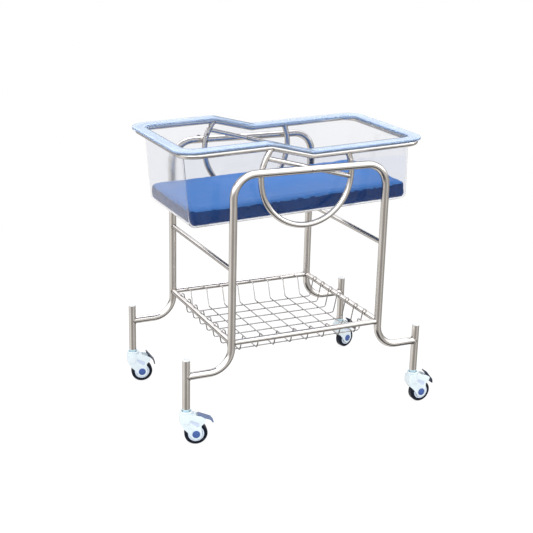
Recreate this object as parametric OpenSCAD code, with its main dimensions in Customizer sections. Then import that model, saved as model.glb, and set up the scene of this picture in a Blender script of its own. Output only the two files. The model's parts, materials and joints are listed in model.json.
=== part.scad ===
// Hospital bassinet: bent tube stand on four castors, wire basket, tilting cradle and clear tub.
// Length runs along X, the short way along Y, height along Z, floor at 0, all in millimetres.

/* [Stand] */
// Outside diameter of the stand tube
tube_d = 25; // [23:1:27]
// Wall of the stand tube
tube_wall = 1.5; // [1.2:0.1:2]
// Distance of the castor posts from the middle along the length
post_x = 423; // [416:1:440]
// Distance of the stand sides from the middle
side_y = 267; // [265:1:275]
// Distance of the legs from the middle along the length
leg_x = 269; // [262:1:275]
// Height of the top rails and of the tilt axis
rail_z = 870; // [860:1:900]
// Height of the outriggers that run to the posts
outrigger_z = 232; // [225:1:236]
// Centre line radius of the top bends
top_bend_r = 73; // [60:1:80]
// Centre line radius of the foot bends
foot_bend_r = 75; // [60:1:80]
// Lower end of the posts
post_bottom_z = 122.5; // [122:0.5:124]
// Upper end of the posts
post_top_z = 288; // [280:1:296]
// Height of the post caps above the posts
cap_h = 3.5; // [2:0.5:6]
// Depth of the cap plugs in the posts
cap_plug_h = 12; // [8:1:20]
// Outside diameter of the cross bars
bar_d = 16; // [14:1:19]
// Height of the left cross bar
bar_left_z = 567; // [520:1:572]
// Height of the right cross bar
bar_right_z = 600; // [560:1:640]
// Wall of the cross bars and the basket rails
bar_wall = 1.2; // [1:0.1:1.6]

/* [Basket] */
// Outside diameter of the basket rails
basket_rail_d = 19; // [17:1:20]
// Height of the basket rails
basket_rail_z = 324; // [322:1:345]
// Diameter of the basket wires
wire_d = 4; // [3.5:0.5:5]
// Height of the long wires on the basket floor
basket_floor_z = 265.5; // [258:0.5:268]
// Number of long wires on each side of the middle one
long_wire_pairs = 3; // [2:1:3]
// Spacing of the long wires
long_wire_pitch = 62; // [55:1:62]
// Number of cross wires on each side of the middle
cross_wire_pairs = 4; // [3:1:4]
// Spacing of the cross wires
cross_wire_pitch = 61; // [50:1:61]
// Bend radius of the wires at the basket floor
wire_bend_r = 9; // [7:1:11]
// Radius of the hooks on the long wires
hook_r = 6; // [5:0.5:7]
// Outward lean of the long wire ends from upright
long_wire_lean = 11; // [8:1:14]
// Straight half length of the cross wires on the floor
cross_floor_y = 202; // [198:1:204]
// Outward lean of the cross wire ends from upright
cross_wire_lean = 20.67; // [19:0.01:23]
// Height of the cross wire ends above the middle of the rails
cross_end_rise = 4; // [3:0.5:5]
// Bite of one wire into the next at the spot welds
weld_bite = 0.2; // [0.1:0.1:0.4]

/* [Cradle] */
// Tilt of the cradle at rest, right end up
basin_tilt = 2.3; // [0:0.1:4]
// Distance of the cradle tubes from the middle
cradle_y = 236; // [235:0.5:237]
// Outside diameter of the cradle ring and the hoops
ring_d = 19; // [18:0.5:19.5]
// Wall of the cradle tubes
ring_wall = 1.2; // [1:0.1:1.6]
// Half length of the ring
ring_x = 415; // [412:1:417]
// Plan radius of the ring corners
ring_corner_r = 50; // [46:1:54]
// Height of the high end of the ring above the tilt axis
ring_high = 76.5; // [75:0.1:78]
// Slope of the ring between its two levels
step_slope = 15.854; // [15.5:0.001:16.5]
// Place of the upper step corner along the length
step_high_x = -130; // [-134:0.5:-128]
// Place of the lower step corner along the length
step_low_x = 16; // [12:0.5:20]
// Bend radius of the ring at the step corners
step_r = 42; // [30:1:50]
// Place of the hoop middle along the length
hoop_x = -4.7; // [-6:0.1:-3]
// Drop of the hoop middle below the tilt axis
hoop_drop = 28.8; // [27:0.1:30]
// Centre line radius of the hoops
hoop_r = 159.5; // [158:0.5:161]
// Direction of the left hoop end from the hoop middle
hoop_left_a = 139.9; // [139.5:0.1:140.5]
// Direction of the right hoop end from the hoop middle
hoop_right_a = 22.4; // [22:0.1:22.8]
// Outside diameter of the chords that carry the pivots
chord_d = 16; // [15:0.5:17]
// Slope of the chords, left end up
chord_slope = 17.2; // [16:0.1:18]
// Diameter of the vent holes in the ring under the hoop ends
vent_d = 6; // [4:0.5:8]
// Gap left for the weld where tubes of one size meet
weld_gap = 0.1; // [0.1:0.05:0.2]

/* [Pivots] */
// Diameter of the pivot bolts
bolt_d = 8; // [7:0.5:8.5]
// Diameter of the bolt heads and nuts
bolt_head_d = 13; // [12:0.5:14]
// Height of the bolt heads
bolt_head_h = 5; // [4:0.5:6]
// Length of the domed nuts
nut_h = 8; // [7:0.5:9]
// Outside diameter of the spacer sleeves
spacer_d = 16; // [14:0.5:18]
// Outside diameter of the bushes through the chords
bush_d = 13; // [12:0.5:14]
// Clearance all round a turning or sliding pin
pin_fit = 0.05; // [0.02:0.01:0.1]
// Gap between faces that move past each other
face_gap = 0.15; // [0.1:0.05:0.3]

/* [Tilt lock] */
// Distance of the lock pin from the tilt axis
lock_arm = 157; // [156:0.5:157.5]
// Angle between one lock hole and the next
lock_step = 9.25; // [9:0.05:9.5]
// Number of lock holes in the rear hoop
lock_holes = 3; // [2:1:3]
// Diameter of the lock pin
lock_pin_d = 8; // [7:0.5:8]
// Play of the lock pin in the hoop holes
lock_play = 0.4; // [0.3:0.1:0.6]
// Travel of the lock pin
lock_travel = 16; // [14:0.5:17]
// Outside diameter of the lock housing
lock_sleeve_d = 14; // [13:0.5:16]
// Length of the lock housing outside the rail
lock_sleeve_h = 10; // [8:0.5:14]
// Diameter of the lock knob
knob_d = 16; // [14:0.5:20]
// Height of the lock knob
knob_h = 10; // [8:0.5:14]
// Gap from the parked pin to the hoop
park_gap = 1.2; // [0.8:0.1:1.5]

/* [Tub] */
// Length of the tub from the middle to its high end, at the top
tub_top_x = 400.5; // [398:0.5:402]
// Length of the tub from the middle to its low end, at the top
tub_low_top_x = 405; // [402:0.5:405]
// Half width of the tub wall at its top
tub_top_y = 206; // [204:0.5:207]
// Height above the tilt axis where the top sizes are taken
tub_top_z = 95; // [93:1:98]
// Length of the tub from the middle to its high end, at the floor
tub_floor_x = 387; // [385:0.5:390]
// Length of the tub from the middle to its low end, at the floor
tub_low_floor_x = 398; // [394:0.5:400]
// Half width of the tub at its floor
tub_floor_y = 196; // [194:0.5:198]
// Drop of the tub underside below the tilt axis
tub_drop = 166; // [162:1:168]
// Outside radius of the tub at the foot of its walls
tub_foot_r = 22; // [20:1:26]
// Outside radius of the upright tub corners at the top
tub_corner_r = 40; // [36:1:44]
// Wall of the tub
tub_wall = 4; // [3:0.5:5]
// Height of the lip underside above the middle of the ring tube
lip_seat = 9.8; // [9.8:0.1:10.5]
// Thickness of the lip
lip_t = 6; // [5:0.5:7]
// Reach of the lip past the middle of the ring tube on the long sides
lip_side = 11.5; // [11:0.5:14]
// Reach of the lip past the middle of the ring tube at the ends
lip_end = 20; // [16:1:24]
// Plan radius of the lip corners
lip_corner_r = 62; // [58:1:66]
// Depth of the lip skirt below the lip underside
skirt_drop = 3; // [2:0.5:3]
// Thickness of the lip skirt
skirt_t = 3; // [2:0.5:3]

/* [Mattress] */
// Half length of the mattress
pad_x = 387.5; // [378:0.5:388]
// Half width of the mattress
pad_y = 191; // [182:0.5:191.5]
// Height of the mattress at its edge
pad_h = 55; // [48:1:60]
// Rise of the mattress top in the middle
pad_crown = 5; // [3:0.5:10]
// Plan radius of the mattress corners
pad_corner_r = 34; // [28:1:40]
// Depth of the cover folds at the mattress corners
pad_fold = 2.5; // [1:0.5:4]
// Amount by which the long sides are drawn in
pad_waist = 1.5; // [1:0.5:5]
// Gap between the mattress and the tub floor
pad_gap = 0.3; // [0.2:0.1:0.5]

/* [Castors] */
// Radius of the wheels
wheel_r = 37.5; // [36:0.5:38]
// Width of the tread
tread_w = 24; // [22:0.5:24]
// Radius of the wheel core
core_r = 26; // [24:0.5:28]
// Distance of the wheel axle behind the swivel axis
trail = 31; // [30:0.5:33]
// Half width of the castor shroud
shroud_half = 17; // [17:0.5:18]
// Wall of the shroud beside the wheel
shroud_wall = 3; // [2.5:0.5:3]
// Radius of the wheel well
well_r = 40.5; // [40:0.5:41]
// Radius of the shroud ends round the axle
arm_end_r = 19; // [17:1:21]
// Radius of the castor head
head_r = 20.5; // [20:0.5:21]
// Height of the top of the castor head
head_top_z = 110; // [108:0.5:111]
// Diameter of the castor neck
neck_d = 22; // [21:0.5:22]
// Thickness of the flange below the post
flange_t = 2; // [1.5:0.5:3]
// Diameter of the swivel shank
shank_d = 11; // [10:0.5:12]
// Diameter of the retaining head on the shank
keeper_d = 15; // [14:0.5:16]
// Height of the retaining head
keeper_h = 5; // [4:0.5:6]
// Height of the underside of the retaining head
keeper_z = 70; // [69.5:0.5:71]
// Length of the plug in the post
plug_h = 30; // [20:1:40]
// Diameter of the wheel axle
axle_d = 8; // [7:0.5:9]
// Diameter of the hub caps
hub_cap_d = 25; // [22:1:28]
// Thickness of the hub caps
hub_cap_t = 3; // [2:0.5:4]
// Width of the brake pedal
pedal_w = 28; // [24:1:28]
// Thickness of the brake pedal
pedal_t = 3.5; // [3:0.5:4]
// Length of the pedal from its hinge towards the post
pedal_in = 24; // [20:1:26]
// Length of the pedal from its hinge outwards
pedal_out = 18; // [14:1:22]
// Length of the turned down pedal lip
pedal_lip = 14; // [10:1:16]
// Angle of the pedal lip to the pedal
pedal_lip_a = 30; // [20:1:40]
// Slope of the pedal when it is pressed down
pedal_slope = 51; // [48:1:54]
// Angle by which a released pedal is higher
pedal_swing = 30; // [25:1:32]
// Distance of the pedal plate above its hinge pin
pedal_rise = 6.2; // [6:0.1:7]
// Width of the pedal hub
pedal_hub_w = 15; // [12:0.5:16]
// Diameter of the pedal hinge pin
pedal_pin_d = 4; // [3:0.5:4.5]
// Swivel of the front left castor at rest, trail side
swivel_front_left = -15.4; // [-45:0.1:45]
// Swivel of the rear left castor at rest
swivel_rear_left = -11.7; // [-45:0.1:45]
// Swivel of the front right castor at rest
swivel_front_right = 0.2; // [-45:0.1:45]
// Swivel of the rear right castor at rest
swivel_rear_right = 16.5; // [-45:0.1:45]

/* [Hidden] */

steel = [0.72, 0.70, 0.67];
shell_white = [0.90, 0.95, 1.00];
cap_blue = [0.35, 0.43, 0.72];
rubber_black = [0.08, 0.09, 0.16];
clear_blue = [0.80, 0.90, 0.98, 0.45];
pad_blue = [0.36, 0.56, 0.85];

$fn = 64;
form_fn = 32;
fine_fn = 256;

front = -1;
rear = 1;
left = -1;
right = 1;

// The shares below are pure numbers that place one detail from another size.
half_share = 0.5;
edge_share = 0.15;

rail_out_y = side_y + tube_d / 2;
rail_in_y = side_y - tube_d / 2;
chord_out_y = cradle_y + chord_d / 2;
chord_in_y = cradle_y - chord_d / 2;
bolt_r = bolt_d / 2;
lock_pin_r = lock_pin_d / 2;
post_hole_r = tube_d / 2 - tube_wall;

ring_low = ring_high - (step_low_x - step_high_x) * tan(step_slope);
step_tangent = step_r * tan(step_slope / 2);
step_run = (step_low_x - step_high_x) / cos(step_slope) - 2 * step_tangent;
ring_left_run = step_high_x + ring_x - ring_corner_r - step_tangent;
ring_right_run = ring_x - ring_corner_r - step_low_x - step_tangent;

side_frame_steps = [
  ["run", post_x - leg_x - foot_bend_r],
  ["bend", foot_bend_r, 90, 90],
  ["run", rail_z - top_bend_r - outrigger_z - foot_bend_r],
  ["bend", top_bend_r, 90, -90],
  ["run", 2 * (leg_x - top_bend_r)],
  ["bend", top_bend_r, 90, -90],
  ["run", rail_z - top_bend_r - outrigger_z - foot_bend_r],
  ["bend", foot_bend_r, 90, 90],
  ["run", post_x - leg_x - foot_bend_r]];

ring_steps = [
  ["run", cradle_y - ring_corner_r],
  ["bend", ring_corner_r, 90, 0],
  ["run", ring_left_run],
  ["bend", step_r, step_slope, -90],
  ["run", step_run],
  ["bend", step_r, step_slope, 90],
  ["run", ring_right_run],
  ["bend", ring_corner_r, 90, 0],
  ["run", 2 * (cradle_y - ring_corner_r)],
  ["bend", ring_corner_r, 90, 0],
  ["run", ring_right_run],
  ["bend", step_r, step_slope, 90],
  ["run", step_run],
  ["bend", step_r, step_slope, -90],
  ["run", ring_left_run],
  ["bend", ring_corner_r, 90, 0],
  ["run", cradle_y - ring_corner_r]];

// A long wire leaves the floor, climbs with its lean and ends in a hook on the rail top.
long_wire_turn = 90 - long_wire_lean;
hook_end_z = basket_rail_z + basket_rail_d / 2 - weld_bite;
long_wire_climb = (hook_end_z + hook_r * cos(long_wire_turn) - basket_floor_z
  - wire_bend_r * (1 - cos(long_wire_turn))) / sin(long_wire_turn);
long_wire_run = leg_x - hook_r * (1 + sin(long_wire_turn)) - long_wire_climb * cos(long_wire_turn)
  - wire_bend_r * sin(long_wire_turn);
long_wire_steps = [
  ["run", long_wire_run],
  ["bend", wire_bend_r, long_wire_turn, 90],
  ["run", long_wire_climb],
  ["bend", hook_r, 90 + long_wire_turn, -90]];

// A cross wire climbs the same way and turns flat to meet the inner face of the rail.
cross_wire_turn = 90 - cross_wire_lean;
cross_floor_z = basket_floor_z + wire_d - weld_bite;
cross_end_z = basket_rail_z + cross_end_rise;
cross_wire_climb = (cross_end_z - cross_floor_z - 2 * wire_bend_r * (1 - cos(cross_wire_turn)))
  / sin(cross_wire_turn);
cross_end_y = side_y - sqrt(pow(basket_rail_d / 2, 2) - pow(cross_end_rise, 2)) + weld_bite;
cross_wire_tail = cross_end_y - cross_floor_y - 2 * wire_bend_r * sin(cross_wire_turn)
  - cross_wire_climb * cos(cross_wire_turn);
cross_wire_steps = [
  ["run", cross_wire_tail],
  ["bend", wire_bend_r, cross_wire_turn, -90],
  ["run", cross_wire_climb],
  ["bend", wire_bend_r, cross_wire_turn, 90],
  ["run", 2 * cross_floor_y],
  ["bend", wire_bend_r, cross_wire_turn, 90],
  ["run", cross_wire_climb],
  ["bend", wire_bend_r, cross_wire_turn, -90],
  ["run", cross_wire_tail]];

tub_floor_top = tub_wall - tub_drop;
pad_shift = (tub_low_floor_x - tub_floor_x) / 2;
pedal_hub_r = pedal_rise - pedal_t / 4;
pedal_pin_x_share = 1.557;
pedal_pin_z_share = 2.312;
pedal_pin_x = wheel_r * pedal_pin_x_share;
pedal_pin_z = wheel_r * pedal_pin_z_share;
pedal_knuckle_r = pedal_rise - pedal_t / 2 - face_gap;
pedal_slot_half = pedal_hub_w / 2 + face_gap * 2;
pedal_bay_half = pedal_w / 2 + face_gap * 2;
well_half = shroud_half - shroud_wall;

// Round or hollow tube section; a wall of 0 gives a solid bar.
module section(d, wall) {
  if (wall > 0) {
    difference() {
      circle(d = d);
      circle(d = d - 2 * wall);
    }
  } else {
    circle(d = d);
  }
}

// Tube laid step by step from the origin along +X.
// A step is ["run", length] or ["bend", radius, angle, roll]; roll 0 turns left, 90 up, -90 down.
module lay(steps, d, wall, i = 0) {
  if (i < len(steps)) {
    s = steps[i];
    if (s[0] == "run") {
      rotate([0, 90, 0]) linear_extrude(s[1]) section(d, wall);
      translate([s[1], 0, 0]) lay(steps, d, wall, i + 1);
    } else {
      rotate([s[3], 0, 0]) {
        translate([0, s[1], 0]) rotate([0, 0, -90]) rotate_extrude(angle = s[2])
          translate([s[1], 0]) section(d, wall);
        translate([0, s[1], 0]) rotate([0, 0, s[2]]) translate([0, -s[1], 0]) rotate([-s[3], 0, 0])
          lay(steps, d, wall, i + 1);
      }
    }
  }
}

module at_post(side, end) {
  translate([end * post_x, side * side_y, 0]) children();
}

// Cylinder along Y between two places, measured outward on the given side.
module rod_y(side, from_y, to_y, d) {
  translate([0, side * from_y, 0]) rotate([side * -90, 0, 0]) cylinder(d = d, h = to_y - from_y);
}

module basin_frame() {
  translate([0, 0, rail_z]) rotate([0, -basin_tilt, 0]) children();
}

module side_frame(side) {
  color(steel) difference() {
    translate([-post_x, side * side_y, outrigger_z]) lay(side_frame_steps, tube_d, tube_wall);
    for (end = [left, right]) at_post(side, end) translate([0, 0, post_bottom_z])
      cylinder(d = tube_d + 2 * weld_gap, h = post_top_z - post_bottom_z);
    translate([0, 0, rail_z]) rod_y(side, rail_in_y - tube_wall, rail_out_y + tube_wall,
      bolt_d + 2 * pin_fit);
    if (side == rear) translate([-lock_arm, 0, rail_z])
      rod_y(side, rail_in_y - tube_wall, rail_out_y + tube_wall, lock_pin_d + 2 * pin_fit);
  }
}

module post(side, end) {
  color(steel) at_post(side, end) translate([0, 0, post_bottom_z])
    linear_extrude(post_top_z - post_bottom_z) section(tube_d, tube_wall);
}

module post_cap(side, end) {
  plug_r = post_hole_r - pin_fit;
  color(shell_white) at_post(side, end) translate([0, 0, post_top_z]) rotate_extrude() {
    translate([0, -cap_plug_h]) square([plug_r, cap_plug_h]);
    polygon([[0, 0], [tube_d / 2, 0], [tube_d / 2, cap_h * half_share],
      [tube_d / 2 - cap_h * half_share, cap_h], [0, cap_h]]);
  }
}

// Straight tube between the two legs of one side, cut to sit on the leg tubes.
module length_rail(side, z, d) {
  color(steel) difference() {
    translate([-leg_x, side * side_y, z]) rotate([0, 90, 0]) linear_extrude(2 * leg_x)
      section(d, bar_wall);
    for (end = [left, right]) translate([end * leg_x, side * side_y, z - tube_d])
      cylinder(d = tube_d, h = 2 * tube_d);
  }
}

// Straight tube from the front leg to the rear leg.
module width_rail(end, z, d) {
  color(steel) difference() {
    translate([end * leg_x, side_y, z]) rotate([90, 0, 0]) linear_extrude(2 * side_y)
      section(d, bar_wall);
    for (side = [front, rear]) translate([end * leg_x, side * side_y, z - tube_d])
      cylinder(d = tube_d, h = 2 * tube_d);
  }
}

module basket_long_wires() {
  color(steel) for (i = [-long_wire_pairs:long_wire_pairs], turn = [0, 180])
    translate([0, i * long_wire_pitch, basket_floor_z]) rotate([0, 0, turn])
      lay(long_wire_steps, wire_d, 0);
}

module basket_cross_wires() {
  color(steel) for (i = [half_share - cross_wire_pairs:cross_wire_pairs - half_share])
    translate([i * cross_wire_pitch, -cross_end_y, cross_end_z]) rotate([0, 0, 90])
      lay(cross_wire_steps, wire_d, 0);
}

module ring_path(d, wall) {
  translate([-ring_x, 0, ring_high]) rotate([0, 0, -90]) lay(ring_steps, d, wall);
}

module hoop_path(side, d, wall) {
  translate([hoop_x, side * cradle_y, -hoop_drop]) rotate([90, 0, 0]) rotate([0, 0, hoop_left_a])
    rotate_extrude(angle = 360 - hoop_left_a + hoop_right_a) translate([hoop_r, 0]) section(d, wall);
}

module ring_tube() {
  color(steel) basin_frame() difference() {
    ring_path(ring_d, ring_wall);
    for (side = [front, rear], a = [hoop_left_a, hoop_right_a])
      translate([hoop_x + hoop_r * cos(a), side * cradle_y, hoop_r * sin(a) - hoop_drop - ring_d])
        cylinder(d = vent_d, h = ring_d);
  }
}

module hoop(side) {
  color(steel) basin_frame() difference() {
    hoop_path(side, ring_d, ring_wall);
    mirror([0, side == rear ? 1 : 0, 0]) ring_path(ring_d + 2 * weld_gap, 0);
    if (side == rear) for (i = [0:lock_holes - 1]) rotate([0, basin_tilt + i * lock_step, 0])
      translate([-lock_arm, 0, 0])
        rod_y(side, cradle_y - ring_d, cradle_y + ring_d, lock_pin_d + lock_play);
  }
}

module chord(side) {
  reach = hoop_r + hoop_drop;
  color(steel) basin_frame() difference() {
    union() {
      intersection() {
        translate([0, side * cradle_y, 0]) rotate([0, chord_slope, 0]) translate([-reach, 0, 0])
          rotate([0, 90, 0]) linear_extrude(2 * reach) section(chord_d, ring_wall);
        translate([hoop_x, side * cradle_y + chord_d, -hoop_drop]) rotate([90, 0, 0])
          cylinder(r = hoop_r, h = 2 * chord_d);
      }
      rod_y(side, chord_in_y, chord_out_y, bush_d);
    }
    hoop_path(side, ring_d, 0);
    rod_y(side, chord_in_y - ring_wall, chord_out_y + ring_wall, bolt_d + 2 * pin_fit);
  }
}

// Domed head on a flat base, standing along +Z.
module dome(d, h) {
  cap_share = 0.45;
  base_h = h * cap_share;
  cap_r = (pow(d / 2, 2) + pow(h - base_h, 2)) / (2 * (h - base_h));
  rotate_extrude() intersection() {
    translate([0, h - cap_r]) circle(r = cap_r, $fn = fine_fn);
    square([d / 2, h]);
  }
}

module pivot_bolts() {
  nut_share = 0.55;
  color(steel) translate([0, 0, rail_z]) for (side = [front, rear]) {
    rod_y(side, chord_in_y - face_gap - nut_h * nut_share, rail_out_y + pin_fit, bolt_d);
    translate([0, side * (rail_out_y + pin_fit), 0]) rotate([side * -90, 0, 0])
      dome(bolt_head_d, bolt_head_h);
  }
}

module pivot_spacers() {
  color(steel) translate([0, 0, rail_z]) for (side = [front, rear]) difference() {
    rod_y(side, chord_out_y + face_gap, rail_in_y - face_gap, spacer_d);
    rod_y(side, chord_out_y, rail_in_y, bolt_d + 2 * pin_fit);
  }
}

module pivot_nuts() {
  bore_share = 0.6;
  color(steel) translate([0, 0, rail_z]) for (side = [front, rear]) difference() {
    translate([0, side * (chord_in_y - face_gap), 0]) rotate([side * 90, 0, 0])
      dome(bolt_head_d, nut_h);
    rod_y(side, chord_in_y - face_gap - nut_h * bore_share, chord_in_y, bolt_d + 2 * pin_fit);
  }
}

module at_lock() {
  translate([-lock_arm, 0, rail_z]) children();
}

module lock_housing() {
  color(steel) at_lock() difference() {
    rod_y(rear, side_y, rail_out_y + lock_sleeve_h, lock_sleeve_d);
    translate([-lock_sleeve_d, side_y, 0]) rotate([0, 90, 0])
      cylinder(d = tube_d, h = 2 * lock_sleeve_d);
    rod_y(rear, side_y, rail_out_y + 2 * lock_sleeve_h, lock_pin_d + 2 * pin_fit);
  }
}

lock_tip_y = cradle_y + ring_d / 2 + park_gap;
lock_knob_y = rail_out_y + lock_sleeve_h + lock_travel + face_gap;

module lock_pin() {
  color(steel) at_lock() rod_y(rear, lock_tip_y, lock_knob_y + knob_h * half_share, lock_pin_d);
}

module lock_knob() {
  color(rubber_black) at_lock() difference() {
    translate([0, lock_knob_y, 0]) rotate([-90, 0, 0]) dome(knob_d, knob_h);
    rod_y(rear, lock_knob_y - knob_h, lock_knob_y + knob_h * half_share + pin_fit,
      lock_pin_d + 2 * pin_fit);
  }
}

// Side area of everything below a line that follows the step of the ring at height h above it.
module under_line(h) {
  reach = 2 * ring_x;
  foot = -2 * tub_drop;
  upper_r = step_r + h;
  lower_r = step_r - h;
  arc_parts = 8;
  upper = [for (i = [0:arc_parts]) let (a = 90 - step_slope * i / arc_parts)
    [step_high_x - step_tangent + upper_r * cos(a), ring_high - step_r + upper_r * sin(a)]];
  lower = [for (i = [0:arc_parts]) let (a = 270 - step_slope * (1 - i / arc_parts))
    [step_low_x + step_tangent + lower_r * cos(a), ring_low + step_r + lower_r * sin(a)]];
  polygon(concat([[-reach, foot], [-reach, ring_high + h]], upper, lower,
    [[reach, ring_low + h], [reach, foot]]));
}

module below(h) {
  translate([0, 2 * cradle_y, 0]) rotate([90, 0, 0]) linear_extrude(4 * cradle_y) under_line(h);
}

module plan(half_x, half_y, r) {
  square([2 * (half_x - r), 2 * half_y], center = true);
  square([2 * half_x, 2 * (half_y - r)], center = true);
  for (sx = [left, right], sy = [front, rear]) translate([sx * (half_x - r), sy * (half_y - r)])
    circle(r = r);
}

// Drafted tub form; the inner form is the same with every radius less by the wall.
module tub_form(inset) {
  disc_h = tub_wall;
  hull() for (sx = [left, right], sy = [front, rear]) {
    floor_x = sx == left ? tub_floor_x : tub_low_floor_x;
    top_x = sx == left ? tub_top_x : tub_low_top_x;
    translate([sx * (floor_x - tub_foot_r), sy * (tub_floor_y - tub_foot_r),
      tub_foot_r - tub_drop]) sphere(r = tub_foot_r - inset, $fn = form_fn);
    translate([sx * (top_x - tub_corner_r), sy * (tub_top_y - tub_corner_r), tub_top_z])
      cylinder(r = tub_corner_r - inset, h = disc_h, $fn = form_fn);
  }
}

module lip(half_x, half_y, r, top, bottom) {
  intersection() {
    translate([0, 0, -tub_drop]) linear_extrude(2 * tub_drop) plan(half_x, half_y, r);
    difference() {
      below(top);
      below(bottom);
    }
  }
}

module tub() {
  half_x = ring_x + lip_end;
  half_y = cradle_y + lip_side;
  lip_top = lip_seat + lip_t;
  color(clear_blue) basin_frame() difference() {
    union() {
      intersection() {
        tub_form(0);
        below(lip_top);
      }
      lip(half_x, half_y, lip_corner_r, lip_top, lip_seat);
      difference() {
        lip(half_x, half_y, lip_corner_r, lip_seat, lip_seat - skirt_drop);
        translate([0, 0, -tub_drop]) linear_extrude(2 * tub_drop)
          plan(half_x - skirt_t, half_y - skirt_t, lip_corner_r - skirt_t);
      }
    }
    tub_form(tub_wall);
  }
}

// Outline point of the mattress; t runs once round from 0 to 1.
function outline_point(t, hx, hy, r) =
  let (sx = hx - r, sy = hy - r, quarter = r * 90 * PI / 180,
    whole = 4 * (sx + sy + quarter), d = t * whole,
    a = sy, b = a + quarter, c = b + 2 * sx, e = c + quarter, f = e + 2 * sy, g = f + quarter,
    k = g + 2 * sx, m = k + quarter, deg = 180 / PI / r)
  d < a ? [hx, d] :
  d < b ? [sx + r * cos((d - a) * deg), sy + r * sin((d - a) * deg)] :
  d < c ? [sx - (d - b), hy] :
  d < e ? [-sx - r * sin((d - c) * deg), sy + r * cos((d - c) * deg)] :
  d < f ? [-hx, sy - (d - e)] :
  d < g ? [-sx - r * cos((d - f) * deg), -sy - r * sin((d - f) * deg)] :
  d < k ? [-sx + (d - g), -hy] :
  d < m ? [sx + r * sin((d - k) * deg), -sy - r * cos((d - k) * deg)] :
  [hx, -sy + (d - m)];

// Each level of the mattress: share of its height, edge roll, and how much waist and fold it shows.
pad_level_shares = [[0, 0.36, 0, 0], [0.08, 0.16, 0.3, 0.3], [0.24, 0.04, 0.8, 0.9], [0.5, 0, 1, 1],
  [0.76, 0.02, 0.8, 0.9], [0.93, 0.1, 0.4, 0.4], [1, 0.26, 0.1, 0.1]];
pad_top_shares = [0.85, 0.6, 0.3];
pad_round = 48;
pad_count = 96;

// Depth of the cover folds: two creases run up each corner.
function fold_at(p) =
  let (u = (abs(p[0]) - (pad_x - pad_corner_r)) / pad_corner_r,
    v = (abs(p[1]) - (pad_y - pad_corner_r)) / pad_corner_r)
  pad_fold * (exp(-pow((u - edge_share) / edge_share, 2)) + exp(-pow((v - edge_share) / edge_share, 2)));

function waist_at(p) = pad_waist * pow(max(0, cos(90 * p[0] / pad_x)), 2) * (abs(p[1]) / pad_y);

function pad_ring(level) =
  let (roll = level[1] * pad_round)
  [for (i = [0:pad_count - 1])
    let (p = outline_point(i / pad_count, pad_x, pad_y, pad_corner_r),
      n = p / norm([p[0] / pad_x, p[1] / pad_y]),
      out = [sign(p[0]) * min(1, pow(abs(p[0]) / pad_x, 8)), sign(p[1]) * min(1, pow(abs(p[1]) / pad_y, 8))],
      cut = fold_at(p) * level[3],
      draw = waist_at(p) * level[2])
    [p[0] - out[0] * (roll + cut), p[1] - out[1] * (roll + cut) - sign(p[1]) * draw,
      level[0] * pad_h]];

function pad_top_ring(s) =
  [for (i = [0:pad_count - 1]) let (p = outline_point(i / pad_count, pad_x, pad_y, pad_corner_r))
    [p[0] * s, p[1] * s, pad_h + pad_crown * (1 - pow(s, 4))]];

module mattress() {
  rings = concat([for (level = pad_level_shares) pad_ring(level)],
    [for (s = pad_top_shares) pad_top_ring(s)]);
  n = len(rings);
  points = concat([for (r = rings) each r], [[0, 0, 0]], [[0, 0, pad_h + pad_crown]]);
  foot = n * pad_count;
  faces = concat(
    [for (j = [0:n - 2], i = [0:pad_count - 1]) let (k = (i + 1) % pad_count)
      [j * pad_count + i, (j + 1) * pad_count + i, (j + 1) * pad_count + k]],
    [for (j = [0:n - 2], i = [0:pad_count - 1]) let (k = (i + 1) % pad_count)
      [j * pad_count + i, (j + 1) * pad_count + k, j * pad_count + k]],
    [for (i = [0:pad_count - 1]) [foot, i, (i + 1) % pad_count]],
    [for (i = [0:pad_count - 1]) let (b = (n - 1) * pad_count)
      [foot + 1, b + (i + 1) % pad_count, b + i]]);
  color(pad_blue) basin_frame() translate([pad_shift, 0, tub_floor_top + pad_gap])
    polyhedron(points = points, faces = faces);
}

// Castor pieces are drawn with the swivel axis at the origin and the wheel trailing towards +X.
module at_castor(side, end, swivel) {
  at_post(side, end) rotate([0, 0, swivel]) children();
}

// Shares of the wheel radius that give the side outline of the shroud.
shroud_shares = [[-0.547, 2.773], [-0.547, 2.027], [-0.256, 1.557], [0.099, 1.187], [0.40, 0.75],
  [1.20, 0.75], [1.307, 1.20], [1.275, 1.755], [1.6, 2.08], [1.66, 2.3], [1.547, 2.453],
  [1.227, 2.64], [0.56, 2.773]];
// Side outline of the bay in which the pedal swings.
bay_shares = [[0.85, 3.2], [0.85, 2.5], [1.2, 2.42], [1.42, 2.2], [2.4, 1.9], [2.4, 3.2]];
// Shallow wedge pressed into each shroud side.
wedge_shares = [[0.35, 2.35], [1.1, 2.0], [1.1, 1.75], [0.95, 1.62], [0.3, 2.1]];

module side_area(shares, half) {
  translate([0, half, 0]) rotate([90, 0, 0]) linear_extrude(2 * half)
    polygon([for (p = shares) p * wheel_r]);
}

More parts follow.
